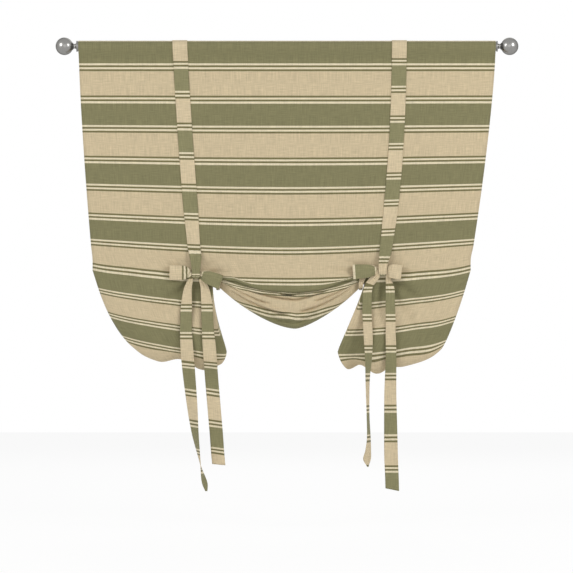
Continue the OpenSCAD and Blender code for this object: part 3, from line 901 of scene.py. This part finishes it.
@dataclass
class Panel:
    """The sewn panel: rod pocket, drop, swag, tails and the turned-under pouf.

    Fields from weft_sag on are the weft's strays from true and their places, in metres of cloth.
    Of these, lap_from and lap_to are shares across the swag.
    """

    drape: Drape
    finish: bpy.types.Material
    node: str = "curtain_panel"
    flat: tuple[float, float] = (1.067, 1.142)
    fine_share: float = 0.46
    pucker_rise: float = 0.006
    pucker_start: Stretch = (0.012, 0.03)
    pucker_end: Stretch = (0.25, 0.75)
    pucker_above: Stretch = (-0.12, 0.1)
    pucker_below: Stretch = (0.36, 0.12)
    weft_sag: float = 0.0043
    weft_span: float = 0.56
    weft_change: float = 0.045
    left_draw: float = 0.0105
    left_fold_draws: tuple[float, float] = (0.0048, 0.0035)
    right_draw: float = 0.0068
    right_fold_draw: float = 0.0065
    right_edge_let: float = 0.008
    lap_l: float = 0.0202
    lap_end: float = 0.6395
    lap_edge: float = 0.0035
    lap_from: dict[Side, float] = by_side(0.5, 0.55)
    lap_to: dict[Side, float] = by_side(0.73, 0.83)
    come_out: float = 0.052
    swag_up: float = 0.008

    def grid(self) -> tuple[Array, Array]:
        """Places where the cloth is sampled, closer together at the folds.

        Returns:
            Signed places across, and lengths from the ridge.
        """
        d = self.drape
        turn = mix(d.loose_t, d.cloth_l, self.fine_share)
        tail = mix(d.fold_a, d.half_w, np.linspace(0, 1, 41)[1:] ** 1.3)
        half = np.concatenate([places(0.0, (d.swag_a, 38), (d.fold_a, 10)), tail])
        upper = ((d.pocket_l, 33), (d.gather_t, 26), (d.loose_t, 36))
        down = places(-d.pocket_l, *upper, (turn, 125), (d.cloth_l, 47))
        return np.concatenate([-half[:0:-1], half]), down

    def puckers(self, middle: Array, down: Array) -> Array:
        """Depth of the puckers that spread from each bow over the cloth's front.

        A pucker is a valley h exp(-(r (angle - angle0) / width)^2) along a ray from the bow, which
        fades out with the distance r.

        Args:
            middle: The panel's points.
            down: The cloth's length at each row.

        Returns:
            Depths, positive to the back.
        """
        d = self.drape
        total = np.zeros(middle.shape[:2])
        for side, rows in PUCKERS.items():
            out = middle[..., 0] * side.value - d.bow_x[side]
            up = middle[..., 2] + d.bow_drop - self.pucker_rise
            r, angle = np.hypot(out, up), np.degrees(np.arctan2(up, out))
            for place, length, height, width in rows:
                off = np.radians((angle - place + 180) % 360 - 180) * r / width
                ends = grow(r, *self.pucker_start) * fade(r / length, *self.pucker_end)
                total += height * np.exp(-(off**2)) * ends
        front = grow(down - d.gather_t, *self.pucker_above) * fade(d.loose_share(down), *self.pucker_below)
        return total * front[:, None]

    def weft(self, across: Array, down: Array) -> Array:
        """Length along the cloth that a weft thread at a place came from.

        The weft isn't quite true. It sags by sin(pi t / L) in the drop. The bows draw it up in the
        tails, most in each tail's middle and near its inner fold, and along the swag. Each of
        these is a product of smooth steps across the tail, w, and down the loose cloth, share.

        Args:
            across: Signed places across the cloth.
            down: Lengths from the ridge.

        Returns:
            Lengths, in metres.
        """
        d = self.drape
        w, share = d.tail_place(across), d.loose_share(down)
        sag = self.weft_sag * np.sin(np.pi * share_of(down, 0, self.weft_span))
        fold = d.past_swag(across) * fade(w, 0, 0.4)
        low, high = self.left_fold_draws
        left = self.left_draw * grow(w, 0, 0.45) * (1 - 0.45 * grow(w, 0.6, 0.4))
        left = left + fold * (low * fade(share, 0.2, 0.15) + high * fade(share, 0.05, 0.1))
        right = self.right_draw * grow(w, 0, 0.35) * fade(w, 0.45, 0.5) * fade(share, 0.1, 0.3)
        right = right - self.right_edge_let * grow(w, 0.6, 0.3) * grow(share, 0.2, 0.15)
        right = right + self.right_fold_draw * fold * fade(share, 0.06, 0.12)
        drawn = np.where(across < 0, left, right) * grow(down, self.weft_span, self.weft_change)
        return down - sag + drawn + self.swag_drift(across, down)

    def swag_drift(self, across: Array, down: Array) -> Array:
        """How far the swag's weft is drawn up or let down beside the bows.

        Above the swag's upper fold a lap hides up to lap_l of the cloth, so that the pin lines run
        under the green band. Below that fold the next pin lines come out further, and lower down
        the bows draw the weft up. Each is a product of steps across the swag, xi, and down its
        section.

        Args:
            across: Signed places across the cloth.
            down: Lengths from the ridge.

        Returns:
            Lengths, positive where a thread from further down shows.
        """
        d = self.drape
        xi = share_of(np.abs(across), 0, d.swag_a)
        section = d.loose_share(down) * d.swag_turn / d.swag_fold(xi)
        hidden = self.lap_l * share_of(xi, d.pick(self.lap_from, across), d.pick(self.lap_to, across))
        covered = np.clip((down - self.lap_end + hidden) / self.lap_edge, 0, 1)
        lap = hidden * covered * fade(section, 0.08, 0.03)
        out = self.come_out * np.maximum(0, xi - 0.34) ** 1.25 * grow(section, 0.085, 0.02)
        out = out * (1 - share_of(section, 0.13, 0.23))
        up = self.swag_up * grow(xi, 0.2, 0.35) * grow(section, 0.22, 0.1)
        return (lap + out + up) * (1 - d.past_swag(across))

    def build(self) -> bpy.types.Object:
        """Builds the panel as one closed sheet of even thickness, with UVs in metres of cloth.

        Returns:
            The panel's object.
        """
        columns, rows = self.grid()
        across, down = columns[None, :], rows[:, None]
        middle = self.drape.cloth(across, down)
        middle[..., 1] += self.puckers(middle, rows)
        uv = np.stack(np.broadcast_arrays(across, self.weft(across, down)), axis=-1)
        obj = closed_sheet("panel", middle, self.drape.cloth_t, uv)
        dress(obj, self.finish)
        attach(obj, "curtain")
        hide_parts(self.node)
        return obj


@dataclass(frozen=True)
class Stop:
    """A place that a tie passes near its bow, from the knot, in metres.

    out is outwards from the knot, depth is in front of it (negative) or behind, up is above it.
    across is the direction of the tie's width as (outwards, depth, up). band is the place in the
    bands, and pleat the height of the pleats.
    """

    out: float
    depth: float
    up: float
    across: Vec3
    width: float
    band: float
    pleat: float

    def row(self) -> list[float]:
        """The stop's shape as a row of numbers."""
        return [self.out, self.depth, self.up, *self.across, self.width, self.pleat]


@dataclass(frozen=True)
class BowPath:
    """A tie's stops after its strap: to the knot, round a loop, under the knot and down."""

    near: list[Stop]
    loop: list[Stop]
    after: list[Stop]
    hang: list[Stop]

    def stops(self) -> list[Stop]:
        """All the stops in order."""
        return self.near + self.loop + self.after + self.hang


@dataclass(frozen=True)
class EndShape:
    """A tie's loop and hanging end.

    droop is the loop's angle below level, in degrees, and tip_band the place in the bands at its
    tip. A row is (share of the length, outwards, gap in front of the cloth, twist in degrees,
    width), in mm. cut is the slope of the cut end. tip_slip is extra length in the bands at the
    tip, which passes where the end is edge-on.
    """

    reach: float
    droop: float
    tip_band: float
    length: float
    rows: tuple
    cut: float = 0.0
    tip_slip: float = 0.0


@dataclass(frozen=True)
class BowShape:
    """One side's bow: the strap's course, its bands and the two ties' ends.

    The strap goes from tie_x to the bow as a power, slide, of its length. lead is how far outwards
    its last two stops are, and rise how far the loops start above the bow's place, both in mm.
    strap_end is the length at the end of a green band, and strap_pitch the bands' length to one
    length of strap. knot_bands are added at the stops before the knot. hang_green_end and
    hang_pitch say the same for the hanging ends, by the drop below the rod, and lean slants them.
    """

    tie_x: float
    slide: float
    lead: tuple[float, float]
    rise: float
    strap_end: float
    strap_pitch: float
    knot_bands: tuple[float, float, float, float]
    hang_green_end: float
    hang_pitch: float
    lean: float
    ends: dict[Run, EndShape]


LEFT_INNER_END = EndShape(
    reach=0.068, droop=21, tip_band=0.1695, length=0.486, cut=0.1,
    rows=(
        (0.06, -22, 4, 0, 21), (0.13, -27, 3, 0, 28), (0.21, -29, 3, 0, 30), (0.29, -31, 3, 0, 31),
        (0.37, -34, 3, 0, 34), (0.45, -37, 3, 0, 34), (0.55, -40, 3, 0, 34), (0.72, -47, 2, 0, 34),
        (0.84, -52, 2, 0, 34), (0.93, -55, 2, 0, 34), (1, -58, 2, 0, 34),
    ),
)
LEFT_OUTER_END = EndShape(
    reach=0.067, droop=0, tip_band=0.1133, length=0.552, tip_slip=0.030,
    rows=(
        (0.06, 21, 2, 0, 20), (0.13, 24, 2, 0, 28), (0.2, 25, 2, 0, 30), (0.27, 25, 2, 0, 31),
        (0.34, 23, 2, 4, 33), (0.41, 20, 2, 8, 33), (0.55, 13, 2, 25, 32), (0.72, 3, 2, 55, 32),
        (0.84, -8, 2, 80, 30), (0.9, -14, 2, 95, 28), (0.96, -22, 2, 125, 22), (1, -26, 2, 140, 6),
    ),
)
RIGHT_INNER_END = EndShape(
    reach=0.076, droop=4, tip_band=0.1595, length=0.490,
    rows=(
        (0.06, -37, 4, 0, 22), (0.13, -40, 4, 0, 24), (0.21, -40, 4, 0, 24), (0.29, -38, 4, 14, 24),
        (0.37, -37, 4, 34, 25), (0.45, -37, 3, 52, 26), (0.55, -38.5, 2, 68, 27), (0.72, -37.5, 2, 76, 28),
        (0.84, -35.5, 2, 72, 28), (0.91, -37, 2, 60, 28), (0.96, -40, 2, 45, 27), (1, -37.5, 2, 60, 5),
    ),
)
RIGHT_OUTER_END = EndShape(
    reach=0.048, droop=8, tip_band=0.100, length=0.552, cut=0.2,
    rows=(
        (0.06, 19, 2, 0, 22), (0.13, 19, 2, 0, 24), (0.2, 20, 2, 0, 25), (0.27, 20, 2, 0, 26),
        (0.34, 21, 2, 0, 27), (0.41, 21, 2, 0, 28), (0.55, 20, 2, 5, 31), (0.72, 21, 2, 0, 34),
        (0.84, 22, 2, 0, 35), (0.93, 24, 2, 0, 35), (1, 25, 2, 0, 35),
    ),
)
BOWS = {
    Side.LEFT: BowShape(
        tie_x=0.275, slide=1.25, lead=(0.6, 0), rise=8, strap_end=0.1364, strap_pitch=0.994,
        knot_bands=(0.0, 0.0, 0.0056, 0.0122), hang_green_end=0.7328, hang_pitch=1.07, lean=0.15,
        ends={Run.FRONT: LEFT_INNER_END, Run.BACK: LEFT_OUTER_END},
    ),
    Side.RIGHT: BowShape(
        tie_x=0.288, slide=2.1, lead=(6, 1.5), rise=15, strap_end=0.1235, strap_pitch=1.066,
        knot_bands=(0.008, 0.008, 0.0075, 0.007), hang_green_end=0.6872, hang_pitch=1.03, lean=0.0,
        ends={Run.FRONT: RIGHT_INNER_END, Run.BACK: RIGHT_OUTER_END},
    ),
}

# A loop's rows: (share of its reach, depth, width), in mm. The front tie loops inwards.
LOOPS = {
    Run.FRONT: (
        (0.2, -6.6, 22), (0.38, -7.2, 31), (0.68, -9.2, 36), (0.93, -11.4, 37), (1, -14.4, 37),
        (0.93, -17.6, 37), (0.68, -19, 36), (0.42, -16, 31), (0.27, -12.2, 20),
    ),
    Run.BACK: (
        (0.38, -8.6, 30), (0.68, -12.2, 37), (0.93, -14.6, 38), (1, -17.4, 38),
        (0.93, -20.2, 38), (0.68, -21.2, 37), (0.46, -18.2, 35), (0.33, -13.8, 28),
    ),
}

# Directions of a tie's width, as (outwards, depth, up).
FLAT = (1.0, 0.0, 0.0)
RISING = (0.7, 0.0, 0.7)
FALLING = (0.7, 0.0, -0.7)
DOWN = (0.0, 0.0, -1.0)


@dataclass
class Tie:
    """One tie, a sewn ribbon: a strap down the panel, a bow's loop and a hanging end."""

    side: Side
    run: Run
    drape: Drape
    finish: bpy.types.Material
    width: float = 0.038
    thick: float = 0.0014
    gap: float = 0.0003
    knot_lift: float = 0.0016
    top_gap: float = 0.004
    flap_end: float = 0.036
    lift_off: float = 0.004
    narrow: float = 0.13
    narrow_from: float = 0.42
    pleat: float = 0.0012
    loop_pleat: float = 0.0002
    hang_pleat: float = 0.0011
    hang_pleat_end: float = 0.2
    loop_stretch: float = 1.05
    slip_from: float = 0.85
    back_repeats: int = 4
    back_strap_stops: int = 5
    wrap_bands: tuple = ((8, 0.094), (13, 0.139))
    turn_pitch: float = 0.8
    jump: float = 0.003
    columns: int = 13
    fine: int = 8

    def __post_init__(self) -> None:
        """Works out the knot's place, the strap's end and its clearance from the panel's middle."""
        d = self.drape
        self.shape = BOWS[self.side]
        self.end = self.shape.ends[self.run]
        self.sign = self.side.value
        self.bow_x = d.bow_x[self.side]
        self.clear = d.cloth_t / 2 + self.gap + self.thick / 2
        self.lie_end = d.gather_t - self.lift_off - self.shape.rise * MM
        knot_depth = -d.tie_depth - d.cloth_t / 2 - self.knot_lift
        self.knot = np.array([self.sign * self.bow_x, knot_depth, -d.bow_drop])
        self.place = np.linspace(-0.5, 0.5, self.columns)

    def lying(self, t: Array) -> Array:
        """The strap where it lies on the panel's front, or on the pocket's back for t below 0.

        Args:
            t: Cloth lengths from the ridge.

        Returns:
            Grid of points, one row for each t, on the panel plus the gap and half a thickness.
        """
        d = self.drape
        course = mix(self.shape.tie_x, self.bow_x, share_of(np.abs(t), 0, d.bow_t) ** self.shape.slide)
        width = self.width * (1 - self.narrow * grow(t, self.narrow_from, self.lie_end - self.narrow_from))
        x = course[:, None] + self.place * width[:, None]
        down = t[:, None]
        a = self.sign * x / d.narrowing(self.sign, down)
        nudge = 0.5 * MM
        step = d.upper(a, down + nudge) - d.upper(a, down - nudge)
        out = unit(np.stack([np.zeros_like(step[..., 0]), step[..., 2], -step[..., 1]], axis=-1))
        return d.upper(a, down) + out * self.clear

    def loop(self) -> list[Stop]:
        """A loop's stops: out from the knot along the cloth and back in front of itself.

        Returns:
            The stops, along a line that droops from the knot.
        """
        end = self.end
        way = -1 if self.run is Run.FRONT else 1
        angle = math.radians(end.droop)
        across = (-math.sin(angle), 0.0, -way * math.cos(angle))
        stops, passed = [], False
        for share, depth, width in LOOPS[self.run]:
            passed = passed or share == 1
            along = (1 - share) * end.reach * (1 if passed else -1)
            out = way * end.reach * share * math.cos(angle)
            up = self.shape.rise * MM - end.reach * share * math.sin(angle)
            band = end.tip_band + along * self.shape.strap_pitch * self.loop_stretch
            pleat = self.pleat * (1 - share) + self.loop_pleat
            stops.append(Stop(out, depth * MM, up, across, width * MM, band, pleat))
        return stops

    def tail_front(self, out: Array, up: Array) -> Array:
        """Depth of the tail's cloth in front, from the knot.

        Args:
            out: Places outwards from the knot.
            up: Places up from the knot.

        Returns:
            Depths, with the section's rows down to its lowest point read the other way round.
        """
        d = self.drape
        lowest = [row[2] for row in d.tail_rows].index(1)
        front = [(drop, u) for u, _, drop in d.tail_rows[: lowest + 1]]
        share = np.clip(-up / (d.tail_drop - d.bow_drop), front[0][0], 1)
        u = spline(front, share)[..., 0]
        sign = np.full_like(u, self.sign)
        inner, edge = d.fold_x(sign, u), d.edge_x(sign, u)
        w = np.clip((self.bow_x + out - inner) / (edge - inner), 0, 1)
        return d.tail(sign, w, u)[..., 1] - self.knot[1]

    def hanging(self) -> list[Stop]:
        """A hanging end's stops, in front of the tail's cloth and then plumb below it.

        Returns:
            The stops, each clear of the cloth near it by the row's gap.
        """
        stops = []
        near_up = np.array([[-16, 0, 16]]) * MM
        for share, out, gap, twist, width in self.end.rows:
            turn, half = math.radians(twist), width * MM / 2
            up = -share * self.end.length
            near_out = out * MM + np.linspace(-1, 1, 5)[:, None] * half * math.cos(turn)
            front = self.tail_front(near_out, up + near_up).min()
            depth = front - self.clear - gap * MM - half * abs(math.sin(turn))
            drop = self.drape.bow_drop - up - self.shape.hang_green_end
            band = BandedLinen.first_end + drop * self.shape.hang_pitch
            if share > self.slip_from:
                band += self.end.tip_slip
            across = (math.cos(turn), math.sin(turn), 0.0)
            pleat = self.hang_pleat * max(0.0, 1 - share / self.hang_pleat_end)
            stops.append(Stop(out * MM, depth, up, across, width * MM, band, pleat))
        return stops

    def front_rows(self) -> tuple[list[tuple], list[tuple]]:
        """The front tie's rows near its knot: over the knot, under it and up behind.

        Returns:
            Rows before the loop and after it: (outwards, depth, up, across, width), in mm.
        """
        rise, lead = self.shape.rise, self.shape.lead
        near = [
            (lead[0], -9, rise + 40, FLAT, 30), (lead[1], -13, rise + 17, FLAT, 23),
            (0, -14.5, rise + 2, FLAT, 21), (0, -14.2, rise - 9, FLAT, 20),
            (0, -11, rise - 14.5, FLAT, 12), (0, -7.6, rise - 13.2, FLAT, 11),
            (0, -6.4, rise - 7.5, FLAT, 11), (-2.5, -6.4, rise - 2, RISING, 13),
        ]
        after = [(-15.5, -10.8, rise - 8, RISING, 13)]
        if self.side is Side.LEFT:
            after += [(-14.5, -10.4, 0.6 * rise - 16, FLAT, 13)]
        else:
            after += [(-15, -10.6, 0.6 * rise - 10, FLAT, 15), (-25, -10.8, -11, FALLING, 19)]
        return near, after

    def back_rows(self) -> tuple[list[tuple], list[tuple]]:
        """The back tie's rows near its knot: down behind the bunch, under it and up to the knot.

        Returns:
            Rows before the loop and after it, as in front_rows.
        """
        d, rise = self.drape, self.shape.rise
        behind = -(d.gather_in + d.notch) / MM - 14
        clear = d.puff * d.bunch_back / MM + 7 - self.knot[1] / MM
        start = (self.shape.tie_x - self.bow_x) / MM
        drop = d.bow_drop / MM
        near = [
            (start - 4, 14, drop - 90, FLAT, 38), (mix(start, behind, 0.4), 26, 0.6 * drop, FLAT, 38),
            (mix(start, behind, 0.8), 40, 0.25 * drop, FLAT, 38), (behind, clear, 40, FLAT, 34),
            (behind, clear, -2, FLAT, 18), (behind, clear - 6, -25, FLAT, 11),
            (behind, 0.6 * clear, -34, FLAT, 7.5), (behind, 0.25 * clear, -35, FLAT, 7.5),
            (behind, -4.6, -29.5, FLAT, 10), (behind + 1, -6.2, -17, FLAT, 12),
            (behind + 6, -5.6, 0.3 * rise - 8, FALLING, 14), (behind + 18, -4.5, 0.7 * rise - 4, DOWN, 15),
            (-14, -3.8, rise - 1, DOWN, 15), (0, -3.8, rise, DOWN, 15), (8, -4.7, rise + 0.5, DOWN, 15),
            (14, -5.8, rise + 0.5, DOWN, 20),
        ]
        return near, [(15.5, -11.4, rise - 7, FALLING, 13), (14.5, -11, 0.6 * rise - 15, FLAT, 13)]

    def pleated(self, rows: list[tuple]) -> list[Stop]:
        """Makes the stops near the knot, whose places in the bands follow later.

        Args:
            rows: Rows as in front_rows.

        Returns:
            The stops, all pleated alike.
        """
        return [
            Stop(out * MM, depth * MM, up * MM, across, width * MM, math.nan, self.pleat)
            for out, depth, up, across, width in rows
        ]

    def path(self) -> BowPath:
        """The bow's stops after the strap, for the front or the back tie."""
        near, after = self.front_rows() if self.run is Run.FRONT else self.back_rows()
        return BowPath(self.pleated(near), self.loop(), self.pleated(after), self.hanging())

    def free(self, stops: list[Stop]) -> tuple[Array, Array, Array]:
        """The tie from the strap's end on: a flat ribbon through the stops.

        Args:
            stops: The stops in order.

        Returns:
            Grid of points, and the pleats' height and the stop number at each row.
        """
        table = np.array([[i, *stop.row()] for i, stop in enumerate(stops)])
        number = np.linspace(0, len(stops) - 1, (len(stops) - 1) * self.fine + 1)
        row = spline(table, number)
        mirror = [self.sign, 1, 1]
        centre = self.knot + row[:, :3] * mirror
        across = unit(row[:, 3:6] * mirror) * row[:, 6:7]
        return centre[:, None] + across[:, None] * self.place[:, None], row[:, 7], number

    def bands(self, path: BowPath, number: Array, strap: Array) -> Array:
        """Place in the bands' repeat down the whole tie.

        Each part of the path has its own start in the repeat. Where two parts meet, under the knot,
        the place jumps within one row. The back strap starts some repeats earlier, so that its
        bands run on to the wrap under the bunch.

        Args:
            path: The free stops.
            number: Stop number at each free row.
            strap: Cloth lengths of the strap's rows.

        Returns:
            One length for each row.
        """
        shape = self.shape
        strap_from, more, wrap = BandedLinen.first_end, shape.knot_bands, ()
        if self.run is Run.BACK:
            strap_from -= self.back_repeats * BandedLinen.repeat
            more, wrap = (0.0,) * self.back_strap_stops, self.wrap_bands

        def at_strap(length: Array) -> Array:
            """Place in the bands at a length down the strap."""
            return strap_from + (length - shape.strap_end) * shape.strap_pitch

        first_hang = path.hang[0]
        turn = len(path.near) + len(path.loop)
        near = [at_strap(self.drape.bow_t - stop.up) + extra for stop, extra in zip(path.near, more)]
        after = [first_hang.band - (stop.up - first_hang.up) * self.turn_pitch for stop in path.after]
        rows = [*enumerate(near), *wrap]
        rows += enumerate((stop.band for stop in path.loop), len(path.near))
        rows += [(turn - 0.55, path.loop[-1].band + self.jump), (turn - 0.42, after[0] - self.jump)]
        rows += enumerate(after + [stop.band for stop in path.hang], turn)
        return np.concatenate([at_strap(np.abs(strap)), np.interp(number, *np.array(rows).T)])

    def strap(self) -> Array:
        """Where the lying strap is sampled.

        Returns:
            Cloth lengths from the ridge, below 0 on the pocket's back.
        """
        if self.run is Run.BACK:
            return -places(self.top_gap, (self.flap_end, 19))
        return places(self.top_gap, (self.drape.pocket_l, 29), (self.lie_end, 59))

    def build(self) -> bpy.types.Object:
        """Builds and dresses the tie.

        The pleats near the knot are cos(5 pi p) across the width, p from -1/2 to 1/2. The last
        stretch is sheared in height by the cut's slope, and the hanging bands by the lean.

        Returns:
            The tie's object.
        """
        t, path = self.strap(), self.path()
        stops = path.stops()
        free, pleat, number = self.free(stops)
        middle = np.concatenate([self.lying(t), free])

        def free_only(values: Array) -> Array:
            """Values on the free rows and 0 on the strap's."""
            return np.concatenate([np.zeros(len(t)), values])[:, None]

        wave = np.cos(self.place * 5 * np.pi) * (1 - (2 * self.place) ** 6)
        middle = middle + grid_normals(middle) * self.sign * (free_only(pleat) * wave)[..., None]
        x = middle[..., 0]
        last = free_only(share_of(number, len(stops) - 2, len(stops) - 1))
        middle[..., 2] += self.end.cut * last * (x.max(axis=1, keepdims=True) - x)
        lean = free_only(grow(number, len(stops) - len(path.hang) + 3, 3) * self.shape.lean)
        centre = self.columns // 2
        band = self.bands(path, number, t)[:, None] - lean * (x - x[:, centre, None])
        uv = np.stack(np.broadcast_arrays(self.place * self.width, band), axis=-1)
        obj = closed_sheet(f"{self.side.label}_{self.run.value}_ribbon", middle, self.thick, uv)
        dress(obj, self.finish)
        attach(obj, "curtain")
        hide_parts(f"{self.side.label}_{self.run.value}_tie")
        return obj


@dataclass
class Finial:
    """A turned end piece: collar, cove neck and ball, with a stud into the plug."""

    side: Side
    finish: bpy.types.Material
    rod_end: float = 0.5373
    ball_r: float = 0.0225
    neck_r: float = 0.006
    neck_l: float = 0.009
    neck_lap: float = 0.0012
    collar_r: float = 0.014
    collar_t: float = 0.003
    edge: float = 0.0007
    stud_r: float = 0.004
    stud_l: float = 0.018

    def profile(self) -> Array:
        """The turned outline: stud, rounded collar, quarter-round coves and the ball's arc.

        Returns:
            Rows of (distance from the rod's end, radius).
        """

        def arc(x: float, y: float, r: float, angles: Array) -> Array:
            """Rows (x + r cos, y + r sin) at the angles."""
            return np.stack([x + r * np.cos(angles), y + r * np.sin(angles)], axis=1)

        cove, edge, shoulder = self.neck_l / 2, self.edge, self.collar_r - self.edge
        centre = self.collar_t + self.neck_l + math.sqrt(self.ball_r**2 - self.neck_r**2)
        start = math.pi - math.asin(min(1.0, (self.neck_r + self.neck_lap) / self.ball_r))
        stud = np.array([[-self.stud_l, 0], [-self.stud_l, self.stud_r], [0, self.stud_r]])
        collar_low = arc(edge, shoulder, edge, np.linspace(np.pi, np.pi / 2, 10))
        collar_high = arc(self.collar_t - edge, shoulder, edge, np.linspace(np.pi / 2, 0, 10))
        hollow = arc(self.collar_t + cove, self.neck_r + cove, cove, np.linspace(-np.pi, 0, 36))
        ball = arc(centre, 0.0, self.ball_r, np.linspace(start, 0, 72))
        neck = hollow[hollow[:, 0] < ball[0, 0]]
        return np.concatenate([stud, collar_low, collar_high, neck, ball])

    def build(self) -> bpy.types.Object:
        """Turns and dresses the finial.

        Returns:
            The finial's object.
        """
        sign = self.side.value
        name = f"{self.side.label}_ball_finial"
        obj = lathe(name, self.profile(), Vector((sign * self.rod_end, 0, 0)), sign)
        dress(obj, self.finish)
        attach(obj, "curtain" if self.side is Side.LEFT else "rod_extension")
        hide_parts(f"{self.side.label}_finial")
        return obj


@dataclass
class Rod:
    """The tubes and plugs, which keep their solids and get finishes."""

    steel: bpy.types.Material
    nylon: bpy.types.Material

    def build(self) -> list[bpy.types.Object]:
        """Dresses the rod's solids.

        Returns:
            The dressed objects.
        """
        plan = {
            "outer_tube": self.steel,
            "inner_tube": self.steel,
            "left_end_plug": self.nylon,
            "right_end_plug": self.nylon,
        }
        for node, material in plan.items():
            dress(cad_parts[node], material)
        return [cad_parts[node] for node in plan]


@dataclass
class Studio:
    """Floor, world, soft lamps and the camera. A lamp is (name, place, side, watts)."""

    floor_z: float = -1.24
    floor_half: float = 6.0
    floor_colour: Colour = (0.93, 0.93, 0.92)
    floor_roughness: float = 0.9
    floor_glow: float = 0.9
    sky: float = 0.42
    sky_in_metal: float = 0.75
    aim: Vec3 = (0.0, 0.0, -0.45)
    lamps: tuple = (
        ("left", (-2.4, -1.9, 0.8), 1.2, 35.0),
        ("right", (2.4, -1.9, 0.8), 1.2, 39.5),
        ("fill", (0.0, -4.0, 0.2), 2.4, 12.0),
        ("back", (0.4, 3.0, 1.4), 2.4, 40.0),
    )
    view_w: float = 1.470
    centre: tuple[float, float] = (-0.0013, -0.6163)
    distance: float = 9.0
    far: float = 60.0

    def build(self) -> None:
        """Makes the setting."""
        scene = bpy.context.scene
        scene.view_settings.view_transform = "Standard"
        self._world(scene)
        self._floor()
        for lamp in self.lamps:
            self._lamp(*lamp)
        self._camera(scene)

    def _seen(self, tree: Tree, reflected: float) -> Socket:
        """Tells the rays that show the setting from those that only light the object.

        Args:
            tree: The node tree.
            reflected: Share for reflections.

        Returns:
            A socket that is 1 to the camera and through glass, and the share in reflections.
        """
        rays = add_node(tree, "LightPath", {}).outputs
        straight = maths(tree, "MAXIMUM", rays["Is Camera Ray"], rays["Is Transmission Ray"])
        return maths(tree, "MAXIMUM", straight, maths(tree, "MULTIPLY", rays["Is Glossy Ray"], reflected))

    def _world(self, scene: bpy.types.Scene) -> None:
        """White to the camera, to reflections and through glass; soft grey as light.

        Args:
            scene: The scene that gets the world.
        """
        scene.world = bpy.data.worlds.new("studio")
        scene.world.use_nodes = True
        tree = scene.world.node_tree
        seen = self._seen(tree, self.sky_in_metal)
        strength = maths(tree, "MULTIPLY_ADD", seen, 1 - self.sky, self.sky)
        fill(tree, tree.nodes["Background"], {"Color": (1.0, 1.0, 1.0), "Strength": strength})

    def _floor(self) -> None:
        """A plain pale floor under the ties' ends, nearly white to the camera."""
        corners = np.array([[-1, -1], [1, -1], [1, 1], [-1, 1]]) * self.floor_half
        points = np.insert(corners, 2, self.floor_z, axis=1)
        floor = mesh_object("floor", points, np.array([[0, 1, 2, 3]]))
        material, tree, shader = new_material("pale_floor")
        fill(tree, shader, {"Base Color": self.floor_colour, "Roughness": self.floor_roughness})
        share = maths(tree, "MULTIPLY", self._seen(tree, 1.0), self.floor_glow)
        glow = add_node(tree, "Emission", {})
        both = add_node(tree, "MixShader", {0: share, 1: shader.outputs[0], 2: glow.outputs[0]})
        tree.links.new(both.outputs[0], tree.nodes["Material Output"].inputs[0])
        dress(floor, material)

    def _lamp(self, name: str, place: Vec3, size: float, power: float) -> None:
        """Adds a square soft lamp that faces the curtain's middle.

        Args:
            name: The lamp's name.
            place: Where it stands.
            size: Its side.
            power: Its watts.
        """
        data = bpy.data.lights.new(name, "AREA")
        data.size = size
        data.energy = power
        lamp = bpy.data.objects.new(name, data)
        lamp.location = place
        to_curtain = Vector(self.aim) - Vector(place)
        lamp.rotation_euler = to_curtain.to_track_quat("-Z", "Y").to_euler()
        bpy.context.scene.collection.objects.link(lamp)

    def _camera(self, scene: bpy.types.Scene) -> None:
        """A long lens square to the panel, framed as the picture is.

        Args:
            scene: The scene that gets the camera.
        """
        data = bpy.data.cameras.new("camera")
        data.sensor_fit = "HORIZONTAL"
        data.angle = 2 * math.atan(self.view_w / 2 / self.distance)
        data.clip_end = self.far
        camera = bpy.data.objects.new("camera", data)
        camera.location = (self.centre[0], -self.distance, self.centre[1])
        camera.rotation_euler = (math.pi / 2, 0, 0)
        scene.collection.objects.link(camera)
        scene.camera = camera


def main() -> None:
    logging.basicConfig(level=logging.INFO, format="%(name)s: %(message)s")
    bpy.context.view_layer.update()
    drape = Drape()
    nickel = SatinNickel("satin_nickel").build()
    steel = SatinNickel("rod_steel", roughness=0.34).build()
    nylon = MouldedNylon("plug_nylon").build()
    linen = BandedLinen("panel_linen", green=srgb(129, 125, 91), beige=srgb(202, 185, 152)).build()
    ribbon = BandedLinen("tie_linen").build()
    pieces = [Panel(drape, linen).build()]
    pieces += [Tie(side, run, drape, ribbon).build() for side in Side for run in Run]
    pieces += [Finial(side, nickel).build() for side in Side]
    pieces += Rod(steel, nylon).build()
    for piece in pieces:
        LOG.info("%s: %d faces", piece.name, len(piece.data.polygons))
    Studio().build()


if __name__ == "__main__":
    main()
